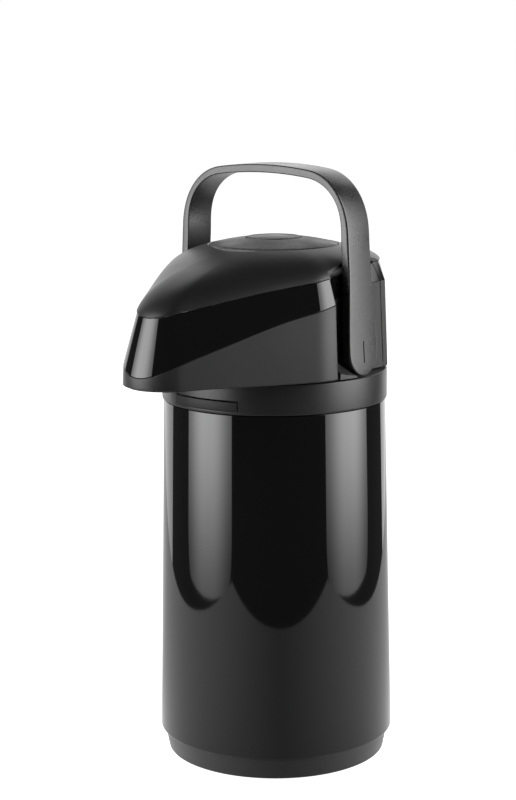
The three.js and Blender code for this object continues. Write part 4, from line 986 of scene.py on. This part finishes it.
def make_softbox(name, start, end):
    low, high = SOFTBOX_ENDS
    width = 2 * SOFTBOX_BACK * math.tan(math.radians((end - start) / 2))
    centre = round_place((start + end) / 2, SOFTBOX_BACK, (low + high) / 2)
    material = emission(name, soft_glow(width / 2, centre.z))
    panel(name, width, high - low, centre, (0, 0, centre.z), material, SOFTBOX_CORNER)


def rectangle(x0, x1, y0, y1):
    return [(x0, y0), (x1, y0), (x1, y1), (x0, y1)]


def make_floor():
    n = Nodes("floor_paper")
    n.shader.inputs["Base Color"].default_value = grey(FLOOR_TONE)
    n.shader.inputs["Roughness"].default_value = 0.9
    n.shader.inputs["Specular IOR Level"].default_value = 0.0
    n.shader.inputs["Emission Color"].default_value = grey(1)
    n.shader.inputs["Emission Strength"].default_value = 1.0
    corners = rectangle(-FLOOR_HALF, FLOOR_HALF, -FLOOR_HALF, FLOOR_HALF)
    floor = flat_sheet("floor", corners, 0, n.material)
    floor.visible_glossy = False
    floor.visible_diffuse = False
    # What the glossy body mirrors is a square white table, which runs back to the wall.
    corners = rectangle(-TABLE_HALF, TABLE_HALF, -TABLE_AHEAD, WALL_BACK)
    card = flat_sheet("table_card", corners, -CARD_DROP, emission("table_white", table_glow))
    card.matrix_world = Matrix.Rotation(math.radians(CAMERA_HEADING + TABLE_TURN), 4, "Z")
    card.visible_camera = False
    card.visible_shadow = False


def make_lights():
    make_softbox("softbox_left", *SOFTBOX_LEFT)
    make_softbox("softbox_right", *SOFTBOX_RIGHT)
    wall_left, wall_right = WALL_ENDS
    for name, start, end in (("wall_left", -180, wall_left), ("wall_right", wall_right, 180)):
        middle = (start + end) / 2
        width = 2 * WALL_BACK * math.tan(math.radians((end - start) / 2))
        place = round_place(middle, WALL_BACK, WALL_MIDDLE)
        panel(name, width, WALL_HEIGHT, place, (0, 0, WALL_MIDDLE), emission(name, constant(WALL_LIGHT)))
    world = bpy.data.worlds.new("studio")
    bpy.context.scene.world = world
    world.use_nodes = True
    tree = world.node_tree
    back = tree.nodes["Background"]
    rays = tree.nodes.new("ShaderNodeLightPath")
    level = tree.nodes.new("ShaderNodeMapRange")
    level.inputs["To Min"].default_value = WORLD_LIGHT
    level.inputs["To Max"].default_value = WORLD_SEEN
    tree.links.new(rays.outputs["Is Camera Ray"], level.inputs["Value"])
    tree.links.new(level.outputs["Result"], back.inputs["Strength"])
    back.inputs["Color"].default_value = grey(1)


def make_camera():
    data = bpy.data.cameras.new("camera")
    data.lens = LENS
    data.sensor_width = SENSOR
    data.clip_start = 0.05
    data.clip_end = 50
    camera = add_object("camera", data)
    turn = Matrix.Rotation(math.radians(CAMERA_HEADING), 4, "Z")
    turn @= Matrix.Rotation(math.radians(90 - CAMERA_PITCH), 4, "X")
    turn @= Matrix.Rotation(math.radians(-CAMERA_ROLL), 4, "Z")
    camera.matrix_world = Matrix.Translation(CAMERA_PLACE) @ turn
    bpy.context.scene.camera = camera


bpy.context.scene.view_settings.view_transform = "Standard"
make_camera()
make_floor()
make_lights()
make_body()
make_base()
make_collar()
make_latch()
make_head()
make_button()
make_handle()
make_carried()
